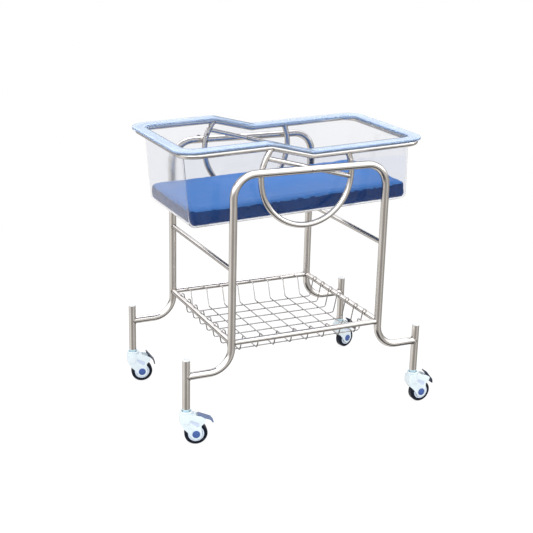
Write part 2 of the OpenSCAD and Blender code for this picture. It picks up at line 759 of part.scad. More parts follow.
module castor_shroud(side, end, swivel) {
  recess_t = shroud_wall * half_share;
  rim_share = 0.8;
  well_gap = well_r - wheel_r;
  color(shell_white) at_castor(side, end, swivel) difference() {
    union() {
      side_area(shroud_shares, shroud_half);
      translate([trail, shroud_half, wheel_r]) rotate([90, 0, 0])
        cylinder(r = arm_end_r, h = 2 * shroud_half);
      translate([0, 0, 2 * wheel_r]) cylinder(r = head_r, h = head_top_z - recess_t - 2 * wheel_r);
      translate([pedal_pin_x, shroud_half, pedal_pin_z]) rotate([90, 0, 0])
        cylinder(r = pedal_knuckle_r, h = 2 * shroud_half);
      difference() {
        translate([0, 0, 2 * wheel_r]) cylinder(r = head_r - recess_t, h = head_top_z - 2 * wheel_r);
        translate([0, 0, head_top_z - recess_t]) cylinder(r = head_r * rim_share, h = recess_t + face_gap);
      }
    }
    translate([trail, well_half, wheel_r]) rotate([90, 0, 0]) cylinder(r = well_r, h = 2 * well_half);
    cylinder(d = shank_d + 2 * pin_fit, h = head_top_z + wheel_r);
    cylinder(d = keeper_d + 2 * face_gap, h = keeper_z + keeper_h + face_gap);
    translate([trail, shroud_half + well_gap, wheel_r]) rotate([90, 0, 0])
      cylinder(d = axle_d + 2 * pin_fit, h = 2 * (shroud_half + well_gap));
    difference() {
      side_area(bay_shares, pedal_bay_half);
      translate([pedal_pin_x, shroud_half, pedal_pin_z]) rotate([90, 0, 0])
        cylinder(r = pedal_knuckle_r, h = 2 * shroud_half);
    }
    difference() {
      translate([pedal_pin_x, pedal_slot_half, pedal_pin_z]) rotate([90, 0, 0])
        cylinder(r = pedal_rise + pedal_t, h = 2 * pedal_slot_half);
      translate([pedal_pin_x, shroud_half, pedal_pin_z]) rotate([90, 0, 0])
        cylinder(d = pedal_pin_d, h = 2 * shroud_half);
    }
    for (s = [front, rear]) translate([0, s * shroud_half, 0]) side_area(wedge_shares, recess_t * half_share);
  }
}

module castor_stem(side, end) {
  color(shell_white) at_post(side, end) {
    translate([0, 0, keeper_z]) cylinder(d = keeper_d, h = keeper_h);
    translate([0, 0, keeper_z]) cylinder(d = shank_d, h = head_top_z - keeper_z);
    translate([0, 0, head_top_z - shroud_wall * half_share + face_gap])
      cylinder(d = neck_d, h = post_bottom_z - head_top_z);
    translate([0, 0, post_bottom_z - flange_t]) cylinder(d = tube_d, h = flange_t);
    translate([0, 0, post_bottom_z]) cylinder(r = post_hole_r - pin_fit, h = plug_h);
  }
}

module castor_axle(side, end, swivel) {
  color(steel) at_castor(side, end, swivel) translate([trail, shroud_half, wheel_r])
    rotate([90, 0, 0]) cylinder(d = axle_d, h = 2 * shroud_half);
}

module castor_hub_caps(side, end, swivel) {
  color(cap_blue) at_castor(side, end, swivel) translate([trail, 0, wheel_r])
    for (s = [front, rear]) translate([0, s * shroud_half, 0]) rotate([s * -90, 0, 0])
      dome(hub_cap_d, hub_cap_t);
}

module castor_wheel_core(side, end, swivel) {
  hub_share = 0.38;
  web_share = 0.12;
  rim_share = 0.78;
  core_half = (well_half + tread_w / 2) / 2;
  rim_half = core_half - face_gap;
  color(shell_white) at_castor(side, end, swivel) translate([trail, 0, wheel_r]) rotate([90, 0, 0])
    rotate_extrude() difference() {
      union() {
        translate([0, -core_half]) square([core_r * hub_share, 2 * core_half]);
        translate([0, -core_half * web_share]) square([core_r, 2 * core_half * web_share]);
        translate([core_r * rim_share, -tread_w / 2]) square([core_r * (1 - rim_share), tread_w]);
      }
      translate([0, -2 * core_half]) square([axle_d / 2 + pin_fit, 4 * core_half]);
    }
}

module castor_tyre(side, end, swivel) {
  bevel = tread_w * edge_share;
  color(rubber_black) at_castor(side, end, swivel) translate([trail, 0, wheel_r]) rotate([90, 0, 0])
    rotate_extrude() polygon([[core_r + pin_fit, -tread_w / 2], [wheel_r - bevel, -tread_w / 2],
      [wheel_r, bevel - tread_w / 2], [wheel_r, tread_w / 2 - bevel], [wheel_r - bevel, tread_w / 2],
      [core_r + pin_fit, tread_w / 2]]);
}

// The pedal is drawn flat over its hinge pin, then turned to its slope.
module castor_brake_pedal(side, end, swivel, lift) {
  color(pad_blue) at_castor(side, end, swivel) translate([pedal_pin_x, 0, pedal_pin_z])
    rotate([0, pedal_slope - lift, 0]) difference() {
      rotate([90, 0, 0]) union() {
        linear_extrude(pedal_w, center = true) polygon([
          [-pedal_in, pedal_rise - pedal_t / 2], [pedal_out, pedal_rise - pedal_t / 2],
          [pedal_out + pedal_lip * cos(pedal_lip_a) - pedal_t / 2 * sin(pedal_lip_a),
            pedal_rise - pedal_lip * sin(pedal_lip_a) - pedal_t / 2 * cos(pedal_lip_a)],
          [pedal_out + pedal_lip * cos(pedal_lip_a) + pedal_t / 2 * sin(pedal_lip_a),
            pedal_rise - pedal_lip * sin(pedal_lip_a) + pedal_t / 2 * cos(pedal_lip_a)],
          [pedal_out + pedal_t * tan(pedal_lip_a / 2), pedal_rise + pedal_t / 2],
          [-pedal_in, pedal_rise + pedal_t / 2]]);
        linear_extrude(pedal_hub_w, center = true) union() {
          circle(r = pedal_hub_r);
          translate([-pedal_pin_d, 0]) square([2 * pedal_pin_d, pedal_rise]);
        }
      }
      translate([0, pedal_w, 0]) rotate([90, 0, 0]) cylinder(d = pedal_pin_d + 2 * pin_fit, h = 2 * pedal_w);
    }
}

side_frame(front);  // side_frame_front
side_frame(rear);  // side_frame_rear
post(front, left);  // post_front_left
post(rear, left);  // post_rear_left
post(front, right);  // post_front_right
post(rear, right);  // post_rear_right
post_cap(front, left);  // post_cap_front_left
post_cap(rear, left);  // post_cap_rear_left
post_cap(front, right);  // post_cap_front_right
post_cap(rear, right);  // post_cap_rear_right
length_rail(front, basket_rail_z, basket_rail_d);  // basket_rail_front
length_rail(rear, basket_rail_z, basket_rail_d);  // basket_rail_rear
width_rail(left, basket_rail_z, basket_rail_d);  // basket_rail_left
width_rail(right, basket_rail_z, basket_rail_d);  // basket_rail_right
width_rail(left, bar_left_z, bar_d);  // cross_bar_left
width_rail(right, bar_right_z, bar_d);  // cross_bar_right
basket_long_wires();
basket_cross_wires();
ring_tube();
hoop(front);  // hoop_front
hoop(rear);  // hoop_rear
chord(front);  // chord_front
chord(rear);  // chord_rear
tub();
mattress();
pivot_bolts();
pivot_spacers();
pivot_nuts();
lock_housing();
lock_pin();
lock_knob();
castor_stem(front, left);  // front_left_castor_stem
castor_shroud(front, left, swivel_front_left);  // front_left_castor_shroud
castor_axle(front, left, swivel_front_left);  // front_left_castor_axle
castor_hub_caps(front, left, swivel_front_left);  // front_left_castor_hub_caps
castor_wheel_core(front, left, swivel_front_left);  // front_left_castor_wheel_core
castor_tyre(front, left, swivel_front_left);  // front_left_castor_tyre
castor_brake_pedal(front, left, swivel_front_left, pedal_swing);  // front_left_castor_brake_pedal
castor_stem(rear, left);  // rear_left_castor_stem
castor_shroud(rear, left, swivel_rear_left);  // rear_left_castor_shroud
castor_axle(rear, left, swivel_rear_left);  // rear_left_castor_axle
castor_hub_caps(rear, left, swivel_rear_left);  // rear_left_castor_hub_caps
castor_wheel_core(rear, left, swivel_rear_left);  // rear_left_castor_wheel_core
castor_tyre(rear, left, swivel_rear_left);  // rear_left_castor_tyre
castor_brake_pedal(rear, left, swivel_rear_left, 0);  // rear_left_castor_brake_pedal
castor_stem(front, right);  // front_right_castor_stem
castor_shroud(front, right, swivel_front_right);  // front_right_castor_shroud
castor_axle(front, right, swivel_front_right);  // front_right_castor_axle
castor_hub_caps(front, right, swivel_front_right);  // front_right_castor_hub_caps
castor_wheel_core(front, right, swivel_front_right);  // front_right_castor_wheel_core
castor_tyre(front, right, swivel_front_right);  // front_right_castor_tyre
castor_brake_pedal(front, right, swivel_front_right, 0);  // front_right_castor_brake_pedal
castor_stem(rear, right);  // rear_right_castor_stem
castor_shroud(rear, right, swivel_rear_right);  // rear_right_castor_shroud
castor_axle(rear, right, swivel_rear_right);  // rear_right_castor_axle
castor_hub_caps(rear, right, swivel_rear_right);  // rear_right_castor_hub_caps
castor_wheel_core(rear, right, swivel_rear_right);  // rear_right_castor_wheel_core
castor_tyre(rear, right, swivel_rear_right);  // rear_right_castor_tyre
castor_brake_pedal(rear, right, swivel_rear_right, 0);  // rear_right_castor_brake_pedal
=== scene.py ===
"""Looks of a hospital bassinet: finishes, welds, clear tub and cushion, round its CAD model."""

from __future__ import annotations

import json
import logging
import math
import random
from collections.abc import Iterator
from dataclasses import dataclass, field
from enum import Enum
from functools import cache

import bmesh
import bpy
import numpy as np
from mathutils import Matrix, Vector, noise

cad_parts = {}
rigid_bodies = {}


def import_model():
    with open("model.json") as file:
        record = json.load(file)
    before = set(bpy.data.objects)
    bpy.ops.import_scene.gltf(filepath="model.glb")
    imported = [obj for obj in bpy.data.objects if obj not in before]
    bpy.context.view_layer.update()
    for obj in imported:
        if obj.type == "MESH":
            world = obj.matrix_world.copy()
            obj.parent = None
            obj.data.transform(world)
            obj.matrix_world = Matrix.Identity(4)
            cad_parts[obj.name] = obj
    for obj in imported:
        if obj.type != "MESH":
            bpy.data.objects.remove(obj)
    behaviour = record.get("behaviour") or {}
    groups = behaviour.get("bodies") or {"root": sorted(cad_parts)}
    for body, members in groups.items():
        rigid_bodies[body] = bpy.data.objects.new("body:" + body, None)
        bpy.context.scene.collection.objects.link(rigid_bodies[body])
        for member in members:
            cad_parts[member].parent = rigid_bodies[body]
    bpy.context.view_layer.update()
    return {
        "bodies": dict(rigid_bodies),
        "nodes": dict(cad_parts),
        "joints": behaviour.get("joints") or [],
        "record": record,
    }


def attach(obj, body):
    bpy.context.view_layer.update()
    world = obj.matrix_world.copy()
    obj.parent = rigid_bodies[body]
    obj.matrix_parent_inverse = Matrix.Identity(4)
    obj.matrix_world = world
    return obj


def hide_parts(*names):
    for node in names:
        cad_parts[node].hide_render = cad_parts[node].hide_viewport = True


log = logging.getLogger("bassinet")

MM = 0.001
CORNERS = ("front_left", "rear_left", "front_right", "rear_right")
SOCKET_KINDS = {float: "Float", int: "Int", tuple: "Color"}

Triple = tuple[float, float, float]
Ring = list[Triple]
Socket = bpy.types.NodeSocket
Node = bpy.types.Node
Mesh = bpy.types.Mesh
Piece = bpy.types.Object


class GrainRun(Enum):
    """Way in which the polishing lines of a tube run."""

    ALONG_X = (0.06, 1.0, 1.0)
    ALONG_Y = (1.0, 0.06, 1.0)
    ALONG_Z = (1.0, 1.0, 0.06)
    ALL_WAYS = (1.0, 1.0, 1.0)


class Side(Enum):
    """Side of the bassinet across its length."""

    FRONT = -1
    REAR = 1


class End(Enum):
    """End of the bassinet along its length."""

    LEFT = -1
    RIGHT = 1


class Graph:
    """One node tree that is being filled."""

    def __init__(self, tree: bpy.types.NodeTree) -> None:
        """Keeps the tree."""
        self.tree = tree

    def feed(self, socket: Socket, value: object) -> None:
        """Links or sets one input.

        Args:
            socket: the input.
            value: an output socket, a node that gives its first output, a plain value or None.
        """
        if isinstance(value, Node):
            value = value.outputs[0]
        if isinstance(value, Socket):
            self.tree.links.new(value, socket)
        elif value is not None:
            socket.default_value = value

    def add(self, kind: str, feeds: dict[str | int, object] | None = None, **settings: object) -> Node:
        """Adds a node.

        Args:
            kind: Blender's name of the node type.
            feeds: what each input takes, by its name or number.
            settings: properties of the node.

        Returns:
            The new node.
        """
        node = self.tree.nodes.new(kind)
        for name, value in settings.items():
            setattr(node, name, value)
        for key, value in (feeds or {}).items():
            self.feed(node.inputs[key], value)
        return node

    def math(self, operation: str, *values: object) -> Socket:
        """Returns the output of a new Math node."""
        return self.add("ShaderNodeMath", dict(enumerate(values)), operation=operation).outputs[0]

    def fade(self, value: Socket, start: float, end: float) -> Socket:
        """Fades smoothly from nought to one.

        Args:
            value: socket of the value.
            start: value at which the result is nought.
            end: value at which it is one.

        Returns:
            The output socket.
        """
        share = self.math("MULTIPLY_ADD", value, 1 / (end - start), -start / (end - start))
        node = self.add("ShaderNodeMapRange", {"Value": share}, interpolation_type="SMOOTHSTEP")
        return node.outputs["Result"]

    def band(self, value: Socket, start: float, full: float, *end: float) -> Socket:
        """Marks a range of a value with soft ends.

        Args:
            value: socket of the value.
            start: value at which the mark starts.
            full: value at which it is full.
            end: where it starts to end and where it has ended, or nothing.

        Returns:
            The output socket.
        """
        rise = self.fade(value, start, full)
        return self.math("MULTIPLY", rise, self.fade(value, *reversed(end))) if end else rise

    def blend(self, mask: Socket, low: object, high: object) -> Socket:
        """Mixes two colours.

        Args:
            mask: share of the second colour.
            low: first colour or its socket.
            high: second colour or its socket.

        Returns:
            The output socket.
        """
        node = self.add("ShaderNodeMix", data_type="RGBA")
        self.feed(node.inputs["Factor"], mask)
        places = [socket for socket in node.inputs if socket.type == "RGBA"]
        for place, colour in zip(places, (low, high)):
            self.feed(place, (*colour, 1.0) if isinstance(colour, tuple) else colour)
        return next(socket for socket in node.outputs if socket.type == "RGBA")

    def seen_directly(self) -> Socket:
        """Returns a mask for rays from the camera or through glass."""
        path = self.add("ShaderNodeLightPath")
        return self.math("MAXIMUM", path.outputs["Is Camera Ray"], path.outputs["Is Transmission Ray"])

    def seen_mirrored(self) -> Socket:
        """Returns a mask for rays from a reflection."""
        return self.add("ShaderNodeLightPath").outputs["Is Glossy Ray"]


class Group(Graph):
    """A node group with named inputs and outputs."""

    def __init__(self, name: str, kind: str, inputs: dict[str, object], outputs: dict[str, str]) -> None:
        """Starts the group.

        Args:
            name: name of the group.
            kind: Blender's name of the tree type.
            inputs: first value of each input, or the socket type of one that has no value.
            outputs: socket type of each output.
        """
        super().__init__(bpy.data.node_groups.new(name, kind))
        face = self.tree.interface
        for label, value in inputs.items():
            socket_kind = SOCKET_KINDS.get(type(value), value)
            socket = face.new_socket(label, in_out="INPUT", socket_type=f"NodeSocket{socket_kind}")
            if not isinstance(value, str):
                socket.default_value = value
        for label, socket_kind in outputs.items():
            face.new_socket(label, in_out="OUTPUT", socket_type=f"NodeSocket{socket_kind}")
        self.given = self.add("NodeGroupInput").outputs
        self.result = self.add("NodeGroupOutput").inputs


@cache
def grain_group() -> bpy.types.NodeTree:
    """Makes the shared group for fine polishing lines and soft waviness.

    Returns:
        Group with a height that changes over the surface.
    """
    inputs = {"Vector": "Vector", "Fine Scale": 900.0, "Wave Scale": 40.0, "Fine Share": 0.5}
    group = Group("surface_grain", "ShaderNodeTree", inputs, {"Height": "Float"})
    place, fine_scale, wave_scale, share = (group.given[name] for name in inputs)
    settings = {"Vector": place, "Scale": fine_scale, "Detail": 3.0, "Roughness": 0.6}
    fine = group.add("ShaderNodeTexNoise", settings)
    wave = group.add("ShaderNodeTexNoise", {"Vector": place, "Scale": wave_scale, "Detail": 2.0})
    part = group.math("MULTIPLY", fine, share)
    rest = group.math("MULTIPLY", wave, group.math("SUBTRACT", 1.0, share))
    group.feed(group.result["Height"], group.math("ADD", part, rest))
    return group.tree


@cache
def smudge_group() -> bpy.types.NodeTree:
    """Makes the shared group for uneven gloss: hand marks, wiped patches and light wear.

    Returns:
        Group with a roughness value and a colour that change over the surface.
    """
    inputs = {
        "Vector": "Vector", "Scale": 9.0, "Gloss": 0.2, "Dull": 0.35, "Colour": (0.5, 0.5, 0.5, 1.0),
        "Worn Colour": (0.4, 0.4, 0.4, 1.0), "Wear": 0.3,
    }
    group = Group("uneven_gloss", "ShaderNodeTree", inputs, {"Roughness": "Float", "Colour": "Color"})
    place, scale, gloss, dull, colour, worn, wear = (group.given[name] for name in inputs)
    settings = {"Vector": place, "Scale": scale, "Detail": 5.0, "Roughness": 0.62, "Distortion": 0.4}
    broad = group.add("ShaderNodeTexNoise", settings)
    spread = group.fade(broad, 0.3, 0.72)
    gap = group.math("SUBTRACT", dull, gloss)
    group.feed(group.result["Roughness"], group.math("MULTIPLY_ADD", spread, gap, gloss))
    group.feed(group.result["Colour"], group.blend(group.math("MULTIPLY", spread, wear), colour, worn))
    return group.tree


@cache
def weave_group() -> bpy.types.NodeTree:
    """Makes the shared group for a fine plain weave.

    Returns:
        Group with the height of the threads.
    """
    inputs = {"Vector": "Vector", "Threads": 1400.0}
    group = Group("plain_weave", "ShaderNodeTree", inputs, {"Height": "Float"})
    place, threads = (group.given[name] for name in inputs)
    settings = {"Vector": place, "Scale": threads, "Distortion": 0.6, "Detail": 1.0}
    waves = [group.add("ShaderNodeTexWave", settings, bands_direction=way).outputs["Fac"] for way in "XY"]
    group.feed(group.result["Height"], group.math("MAXIMUM", *waves))
    return group.tree


@dataclass(frozen=True)
class Finish:
    """What every finish shares: name, colours, gloss and grain."""

    name: str
    colour: Triple
    worn: Triple
    gloss: float
    dull: float
    smudge_scale: float = 30.0
    wear: float = 0.5
    fine_scale: float = 900.0
    wave_scale: float = 40.0
    fine_share: float = 0.5
    bump: float = 0.1
    bump_depth: float = 0.0003
    stretch: Triple = (1.0, 1.0, 1.0)

    def inputs(self) -> dict[str, object]:
        """Returns the shader inputs that this kind of finish sets."""
        return {}

    def relief(self, graph: Graph, place: Node) -> Node | None:
        """Returns the node of the relief below the fine grain, which most finishes don't have."""
        return None

    def build(self) -> bpy.types.Material:
        """Makes the material.

        Returns:
            The material.
        """
        material = bpy.data.materials.new(self.name)
        material.use_nodes = True
        graph = Graph(material.node_tree)
        whole = graph.add("ShaderNodeTexCoord").outputs["Object"]
        place = graph.add("ShaderNodeMapping", {"Vector": whole, "Scale": self.stretch})
        settings = {
            "Vector": whole, "Scale": self.smudge_scale, "Gloss": self.gloss, "Dull": self.dull,
            "Colour": (*self.colour, 1.0), "Worn Colour": (*self.worn, 1.0), "Wear": self.wear,
        }
        smudge = graph.add("ShaderNodeGroup", settings, node_tree=smudge_group())
        settings = {
            "Vector": place, "Fine Scale": self.fine_scale, "Wave Scale": self.wave_scale,
            "Fine Share": self.fine_share,
        }
        grain = graph.add("ShaderNodeGroup", settings, node_tree=grain_group())
        settings = {
            "Strength": self.bump, "Distance": self.bump_depth, "Height": grain,
            "Normal": self.relief(graph, place),
        }
        bump = graph.add("ShaderNodeBump", settings)
        shader = next(node for node in material.node_tree.nodes if node.type == "BSDF_PRINCIPLED")
        graph.feed(shader.inputs["Base Color"], smudge.outputs["Colour"])
        graph.feed(shader.inputs["Roughness"], smudge.outputs["Roughness"])
        graph.feed(shader.inputs["Normal"], bump)
        for name, value in self.inputs().items():
            graph.feed(shader.inputs[name], value)
        return material


@dataclass(frozen=True)
class Metal(Finish):
    """Stainless steel with fine polishing lines."""

    rim: Triple = (0.42, 0.42, 0.44)

    def inputs(self) -> dict[str, object]:
        """Returns the inputs of metal, with the tint that it mirrors at its rim."""
        return {"Metallic": 1.0, "Specular Tint": (*self.rim, 1.0)}


@dataclass(frozen=True)
class ClearPlastic(Finish):
    """Transparent sheet with a slight tint."""

    transmission: float = 1.0
    ior: float = 1.25
    specular: float = 0.4

    def inputs(self) -> dict[str, object]:
        """Returns the inputs of clear sheet."""
        clear = {"Transmission Weight": self.transmission, "IOR": self.ior}
        return {**clear, "Specular IOR Level": self.specular}


@dataclass(frozen=True)
class Moulded(Finish):
    """Opaque moulded plastic or rubber."""

    specular: float = 0.5
    coat: float = 0.0
    coat_roughness: float = 0.15

    def inputs(self) -> dict[str, object]:
        """Returns the inputs of moulded plastic."""
        coat = {"Coat Weight": self.coat, "Coat Roughness": self.coat_roughness}
        return {**coat, "Specular IOR Level": self.specular}


@dataclass(frozen=True)
class CoatedCloth(Finish):
    """Wipe-clean coated cloth with a fine weave and soft creases."""

    gloss: float = 0.4
    dull: float = 0.55
    smudge_scale: float = 5.0
    wear: float = 0.6
    fine_scale: float = 700.0
    wave_scale: float = 60.0
    fine_share: float = 0.3
    bump: float = 0.12
    bump_depth: float = 0.0006
    threads: float = 1400.0
    weave: float = 0.35
    weave_depth: float = 0.00012
    crease_scale: float = 26.0
    crease: float = 0.45
    crease_depth: float = 0.0022
    sheen: float = 0.01
    sheen_roughness: float = 0.4
    specular: float = 0.14

    def inputs(self) -> dict[str, object]:
        """Returns the inputs of coated cloth."""
        sheen = {"Sheen Weight": self.sheen, "Sheen Roughness": self.sheen_roughness}
        return {**sheen, "Specular IOR Level": self.specular}

    def relief(self, graph: Graph, place: Node) -> Node:
        """Adds soft creases with the weave on them.

        Args:
            graph: graph of the material.
            place: node of the place on the surface.

        Returns:
            The node of the normal.
        """
        settings = {"Vector": place, "Scale": self.crease_scale, "Detail": 3.0, "Distortion": 1.2}
        waves = graph.add("ShaderNodeTexNoise", settings)
        settings = {"Vector": place, "Threads": self.threads}
        weave = graph.add("ShaderNodeGroup", settings, node_tree=weave_group())
        settings = {"Strength": self.crease, "Distance": self.crease_depth, "Height": waves}
        below = {"Normal": graph.add("ShaderNodeBump", settings)}
        settings = {"Strength": self.weave, "Distance": self.weave_depth, "Height": weave}
        return graph.add("ShaderNodeBump", {**settings, **below})


FINISHES = (
    *(
        Metal(
            "steel_" + run.name.lower(), (0.66, 0.64, 0.615), (0.54, 0.515, 0.485), 0.13, 0.24,
            smudge_scale=11.0, fine_scale=1500.0, wave_scale=55.0, fine_share=0.55, stretch=run.value,
        )
        for run in GrainRun
    ),
    Metal(
        "basket_wire", (0.45, 0.44, 0.43), (0.26, 0.25, 0.24), 0.16, 0.32, wear=0.7, fine_scale=1800.0,
        bump_depth=0.0002,
    ),
    Metal(
        "weld_bead", (0.34, 0.31, 0.28), (0.16, 0.14, 0.15), 0.28, 0.5, smudge_scale=160.0, wear=0.8,
        fine_scale=1200.0, wave_scale=400.0, bump=0.5, bump_depth=0.0004,
    ),
    Metal(
        "turned_steel", (0.52, 0.5, 0.47), (0.36, 0.34, 0.32), 0.16, 0.3, smudge_scale=60.0,
        fine_scale=2500.0, bump=0.12, bump_depth=0.0002,
    ),
    ClearPlastic(
        "clear_tub", (0.905, 0.91, 0.935), (0.87, 0.88, 0.91), 0.02, 0.07, smudge_scale=4.0, wear=0.8,
        fine_scale=300.0, wave_scale=14.0, fine_share=0.05, bump=0.12, bump_depth=0.0012,
    ),
    ClearPlastic(
        "tinted_lip", (0.60, 0.755, 0.97), (0.53, 0.68, 0.92), 0.1, 0.2, smudge_scale=5.0, wear=0.7,
        fine_scale=120.0, wave_scale=18.0, fine_share=0.02, bump=0.08, bump_depth=0.0006,
        transmission=0.5, ior=1.3, specular=0.3,
    ),
    CoatedCloth("cushion_cover", (0.045, 0.195, 0.56), (0.06, 0.225, 0.62)),
    # Darker copy of the cover cloth for the cushion's sides: painted shade, not a cloth of its own.
    CoatedCloth(
        "cushion_side_painted_shade", (0.001, 0.036, 0.175), (0.004, 0.07, 0.27), crease_scale=40.0, crease_depth=0.006
    ),
    Moulded(
        "castor_shell", (0.77, 0.865, 0.91), (0.70, 0.80, 0.86), 0.26, 0.4, smudge_scale=28.0, wear=0.4,
        wave_scale=80.0, coat=0.15,
    ),
    # Darker lavender tone for the bottom of the shroud's pressed wedge: painted shade in the recess.
    Moulded(
        "castor_recess_painted_shade", (0.58, 0.66, 0.82), (0.52, 0.60, 0.77), 0.3, 0.45, smudge_scale=28.0,
        wave_scale=80.0,
    ),
    Moulded("wheel_core", (0.66, 0.74, 0.86), (0.58, 0.66, 0.79), 0.3, 0.45, wear=0.6),
    Moulded(
        "hub_cap_blue", (0.04, 0.095, 0.33), (0.07, 0.135, 0.38), 0.24, 0.4, smudge_scale=60.0, wear=0.6,
        fine_scale=1200.0, bump=0.12, bump_depth=0.0002, coat=0.2,
    ),
    Moulded(
        "tyre_rubber", (0.003, 0.006, 0.014), (0.010, 0.016, 0.034), 0.26, 0.45, smudge_scale=45.0,
        wear=0.6, fine_scale=1600.0, wave_scale=120.0, bump=0.25, specular=0.16,
    ),
    Moulded(
        "pedal_dark", (0.014, 0.024, 0.055), (0.035, 0.05, 0.09), 0.28, 0.44, smudge_scale=40.0,
        fine_scale=1100.0, bump=0.15, specular=0.25,
    ),
    Moulded(
        "pedal_grey_blue", (0.10, 0.155, 0.31), (0.15, 0.205, 0.36), 0.32, 0.48, smudge_scale=40.0,
        fine_scale=1100.0, bump=0.15,
    ),
    Moulded("castor_neck", (0.60, 0.79, 0.87), (0.52, 0.72, 0.81), 0.28, 0.4),
    Moulded("post_plug", (0.83, 0.86, 0.88), (0.7, 0.73, 0.76), 0.3, 0.45, bump=0.12),
    Moulded(
        "knob_grey", (0.24, 0.25, 0.27), (0.30, 0.31, 0.33), 0.28, 0.45, smudge_scale=50.0,
        fine_scale=1200.0, bump=0.15, bump_depth=0.0002,
    ),
)


@dataclass
class Palette:
    """Every finish of the bassinet, built once."""

    made: dict[str, bpy.types.Material] = field(default_factory=dict)

    def build(self) -> None:
        """Builds all the materials."""
        self.made = {finish.name: finish.build() for finish in FINISHES}
        log.info("palette: %d finishes", len(self.made))

    def dress(self, nodes: dict[str, Piece], plan: dict[str, tuple[str, ...]]) -> None:
        """Gives CAD nodes their finishes.

        Args:
            nodes: the CAD nodes by name.
            plan: names of the nodes that take each finish.
        """
        for finish, names in plan.items():
            for name in names:
                if not nodes[name].material_slots:
                    nodes[name].data.materials.append(self.made[finish])
                for place in nodes[name].material_slots:
                    place.material = self.made[finish]
            log.info("%s: %s", finish, ", ".join(names))


def coat(mesh: Mesh, *finishes: bpy.types.Material) -> None:
    """Gives a mesh its finishes and smooth shading.

    Args:
        mesh: the mesh.
        finishes: materials in slot order.
    """
    for finish in finishes:
        mesh.materials.append(finish)
    mesh.polygons.foreach_set("use_smooth", [True] * len(mesh.polygons))


def put(name: str, data: bpy.types.ID) -> Piece:
    """Puts an object in the scene.

    Args:
        name: its name.
        data: its mesh, camera or lamp.

    Returns:
        The new object.
    """
    piece = bpy.data.objects.new(name, data)
    bpy.context.scene.collection.objects.link(piece)
    return piece


def make_object(name: str, mesh: Mesh, *finishes: bpy.types.Material) -> Piece:
    """Puts a mesh in the scene as a smooth shaded piece.

    Args:
        name: name of the piece.
        mesh: its mesh, in place in the shared frame.
        finishes: materials in slot order.

    Returns:
        The new object.
    """
    coat(mesh, *finishes)
    return put(name, mesh)


def ring_mesh(name: str, rings: list[Ring], marks: list[int] | None = None, loop: bool = False) -> Mesh:
    """Joins rings of points to a closed mesh with its faces outward.

    Args:
        name: name of the mesh.
        rings: the rings, each with the same number of points, in metres.
        marks: material slot of the band after each ring.
        loop: True where the last ring joins the first, False where both are filled.

    Returns:
        The mesh.
    """
    count = len(rings[0])
    faces = []
    for j in range(len(rings) if loop else len(rings) - 1):
        here, there = j * count, (j + 1) % len(rings) * count
        for i in range(count):
            k = (i + 1) % count
            faces.append([here + i, here + k, there + k, there + i])
    if not loop:
        last = (len(rings) - 1) * count
        faces = [list(range(count)), *faces, list(range(last + count - 1, last - 1, -1))]
    mesh = bpy.data.meshes.new(name)
    mesh.from_pydata([point for ring in rings for point in ring], [], faces)
    if marks:
        slots = [mark for mark in marks[:-1] for _ in range(count)]
        mesh.polygons.foreach_set("material_index", [0, *slots, 0])
    shape = bmesh.new()
    shape.from_mesh(mesh)
    bmesh.ops.recalc_face_normals(shape, faces=shape.faces)
    shape.to_mesh(mesh)
    shape.free()
    mesh.update()
    return mesh


def settle(piece: Piece) -> None:
    """Turns the live modifiers of a piece into plain mesh.

    Args:
        piece: the object.
    """
    seen = piece.evaluated_get(bpy.context.evaluated_depsgraph_get())
    mesh = bpy.data.meshes.new_from_object(seen)
    piece.modifiers.clear()
    old = piece.data
    piece.data = mesh
    bpy.data.meshes.remove(old)


class Rig(Group):
    """A Geometry Nodes tree with named inputs, run once on a guide mesh."""

    def __init__(self, name: str, inputs: dict[str, object]) -> None:
        """Starts the tree with its guide, its sizes and its finish."""
        named = {"Geometry": "Geometry", **inputs, "Finish": "Material"}
        super().__init__(name, "GeometryNodeTree", named, {"Geometry": "Geometry"})

    def end(self, geometry: Socket) -> None:
        """Ends the tree with real, smooth geometry in its finish.

        Args:
            geometry: the last geometry output.
        """
        real = self.add("GeometryNodeRealizeInstances", {"Geometry": geometry})
        smooth = self.add("GeometryNodeSetShadeSmooth", {"Geometry": real})
        finish = {"Geometry": smooth, "Material": self.given["Finish"]}
        self.feed(self.result["Geometry"], self.add("GeometryNodeSetMaterial", finish))

    def run(self, name: str, guide: Mesh, values: dict[str, object]) -> Piece:
        """Runs the tree on a guide mesh.

        Args:
            name: name of the piece.
            guide: points or edges that the tree reads.
            values: value of each named input.

        Returns:
            The piece, as plain mesh.
        """
        piece = put(name, guide)
        modifier = piece.modifiers.new("Shape", "NODES")
        modifier.node_group = self.tree
        for socket in self.tree.interface.items_tree:
            if socket.item_type == "SOCKET" and socket.in_out == "INPUT" and socket.name in values:
                modifier[socket.identifier] = values[socket.name]
        settle(piece)
        return piece


def spot_rig() -> Rig:
    """Makes the tree that sets a small uneven weld spot on every guide point.

    Returns:
        The rig.
    """
    rig = Rig("weld_spots", {"Radius": 0.002, "Spread": 0.25, "Seed": 4})
    ball = rig.add("GeometryNodeMeshIcoSphere", {"Radius": rig.given["Radius"], "Subdivisions": 2})
    size = rig.add("FunctionNodeRandomValue", {"Seed": rig.given["Seed"]}, data_type="FLOAT")
    least, most = [socket for socket in size.inputs if socket.type == "VALUE"][:2]
    rig.feed(least, rig.math("SUBTRACT", 1.0, rig.given["Spread"]))
    rig.feed(most, rig.math("ADD", 1.0, rig.given["Spread"]))
    points = rig.add("GeometryNodeMeshToPoints", {"Mesh": rig.given["Geometry"]})
    scale = next(socket for socket in size.outputs if socket.type == "VALUE")
    place = rig.add("GeometryNodeInstanceOnPoints", {"Points": points, "Instance": ball, "Scale": scale})
    rig.end(place.outputs["Instances"])
    return rig


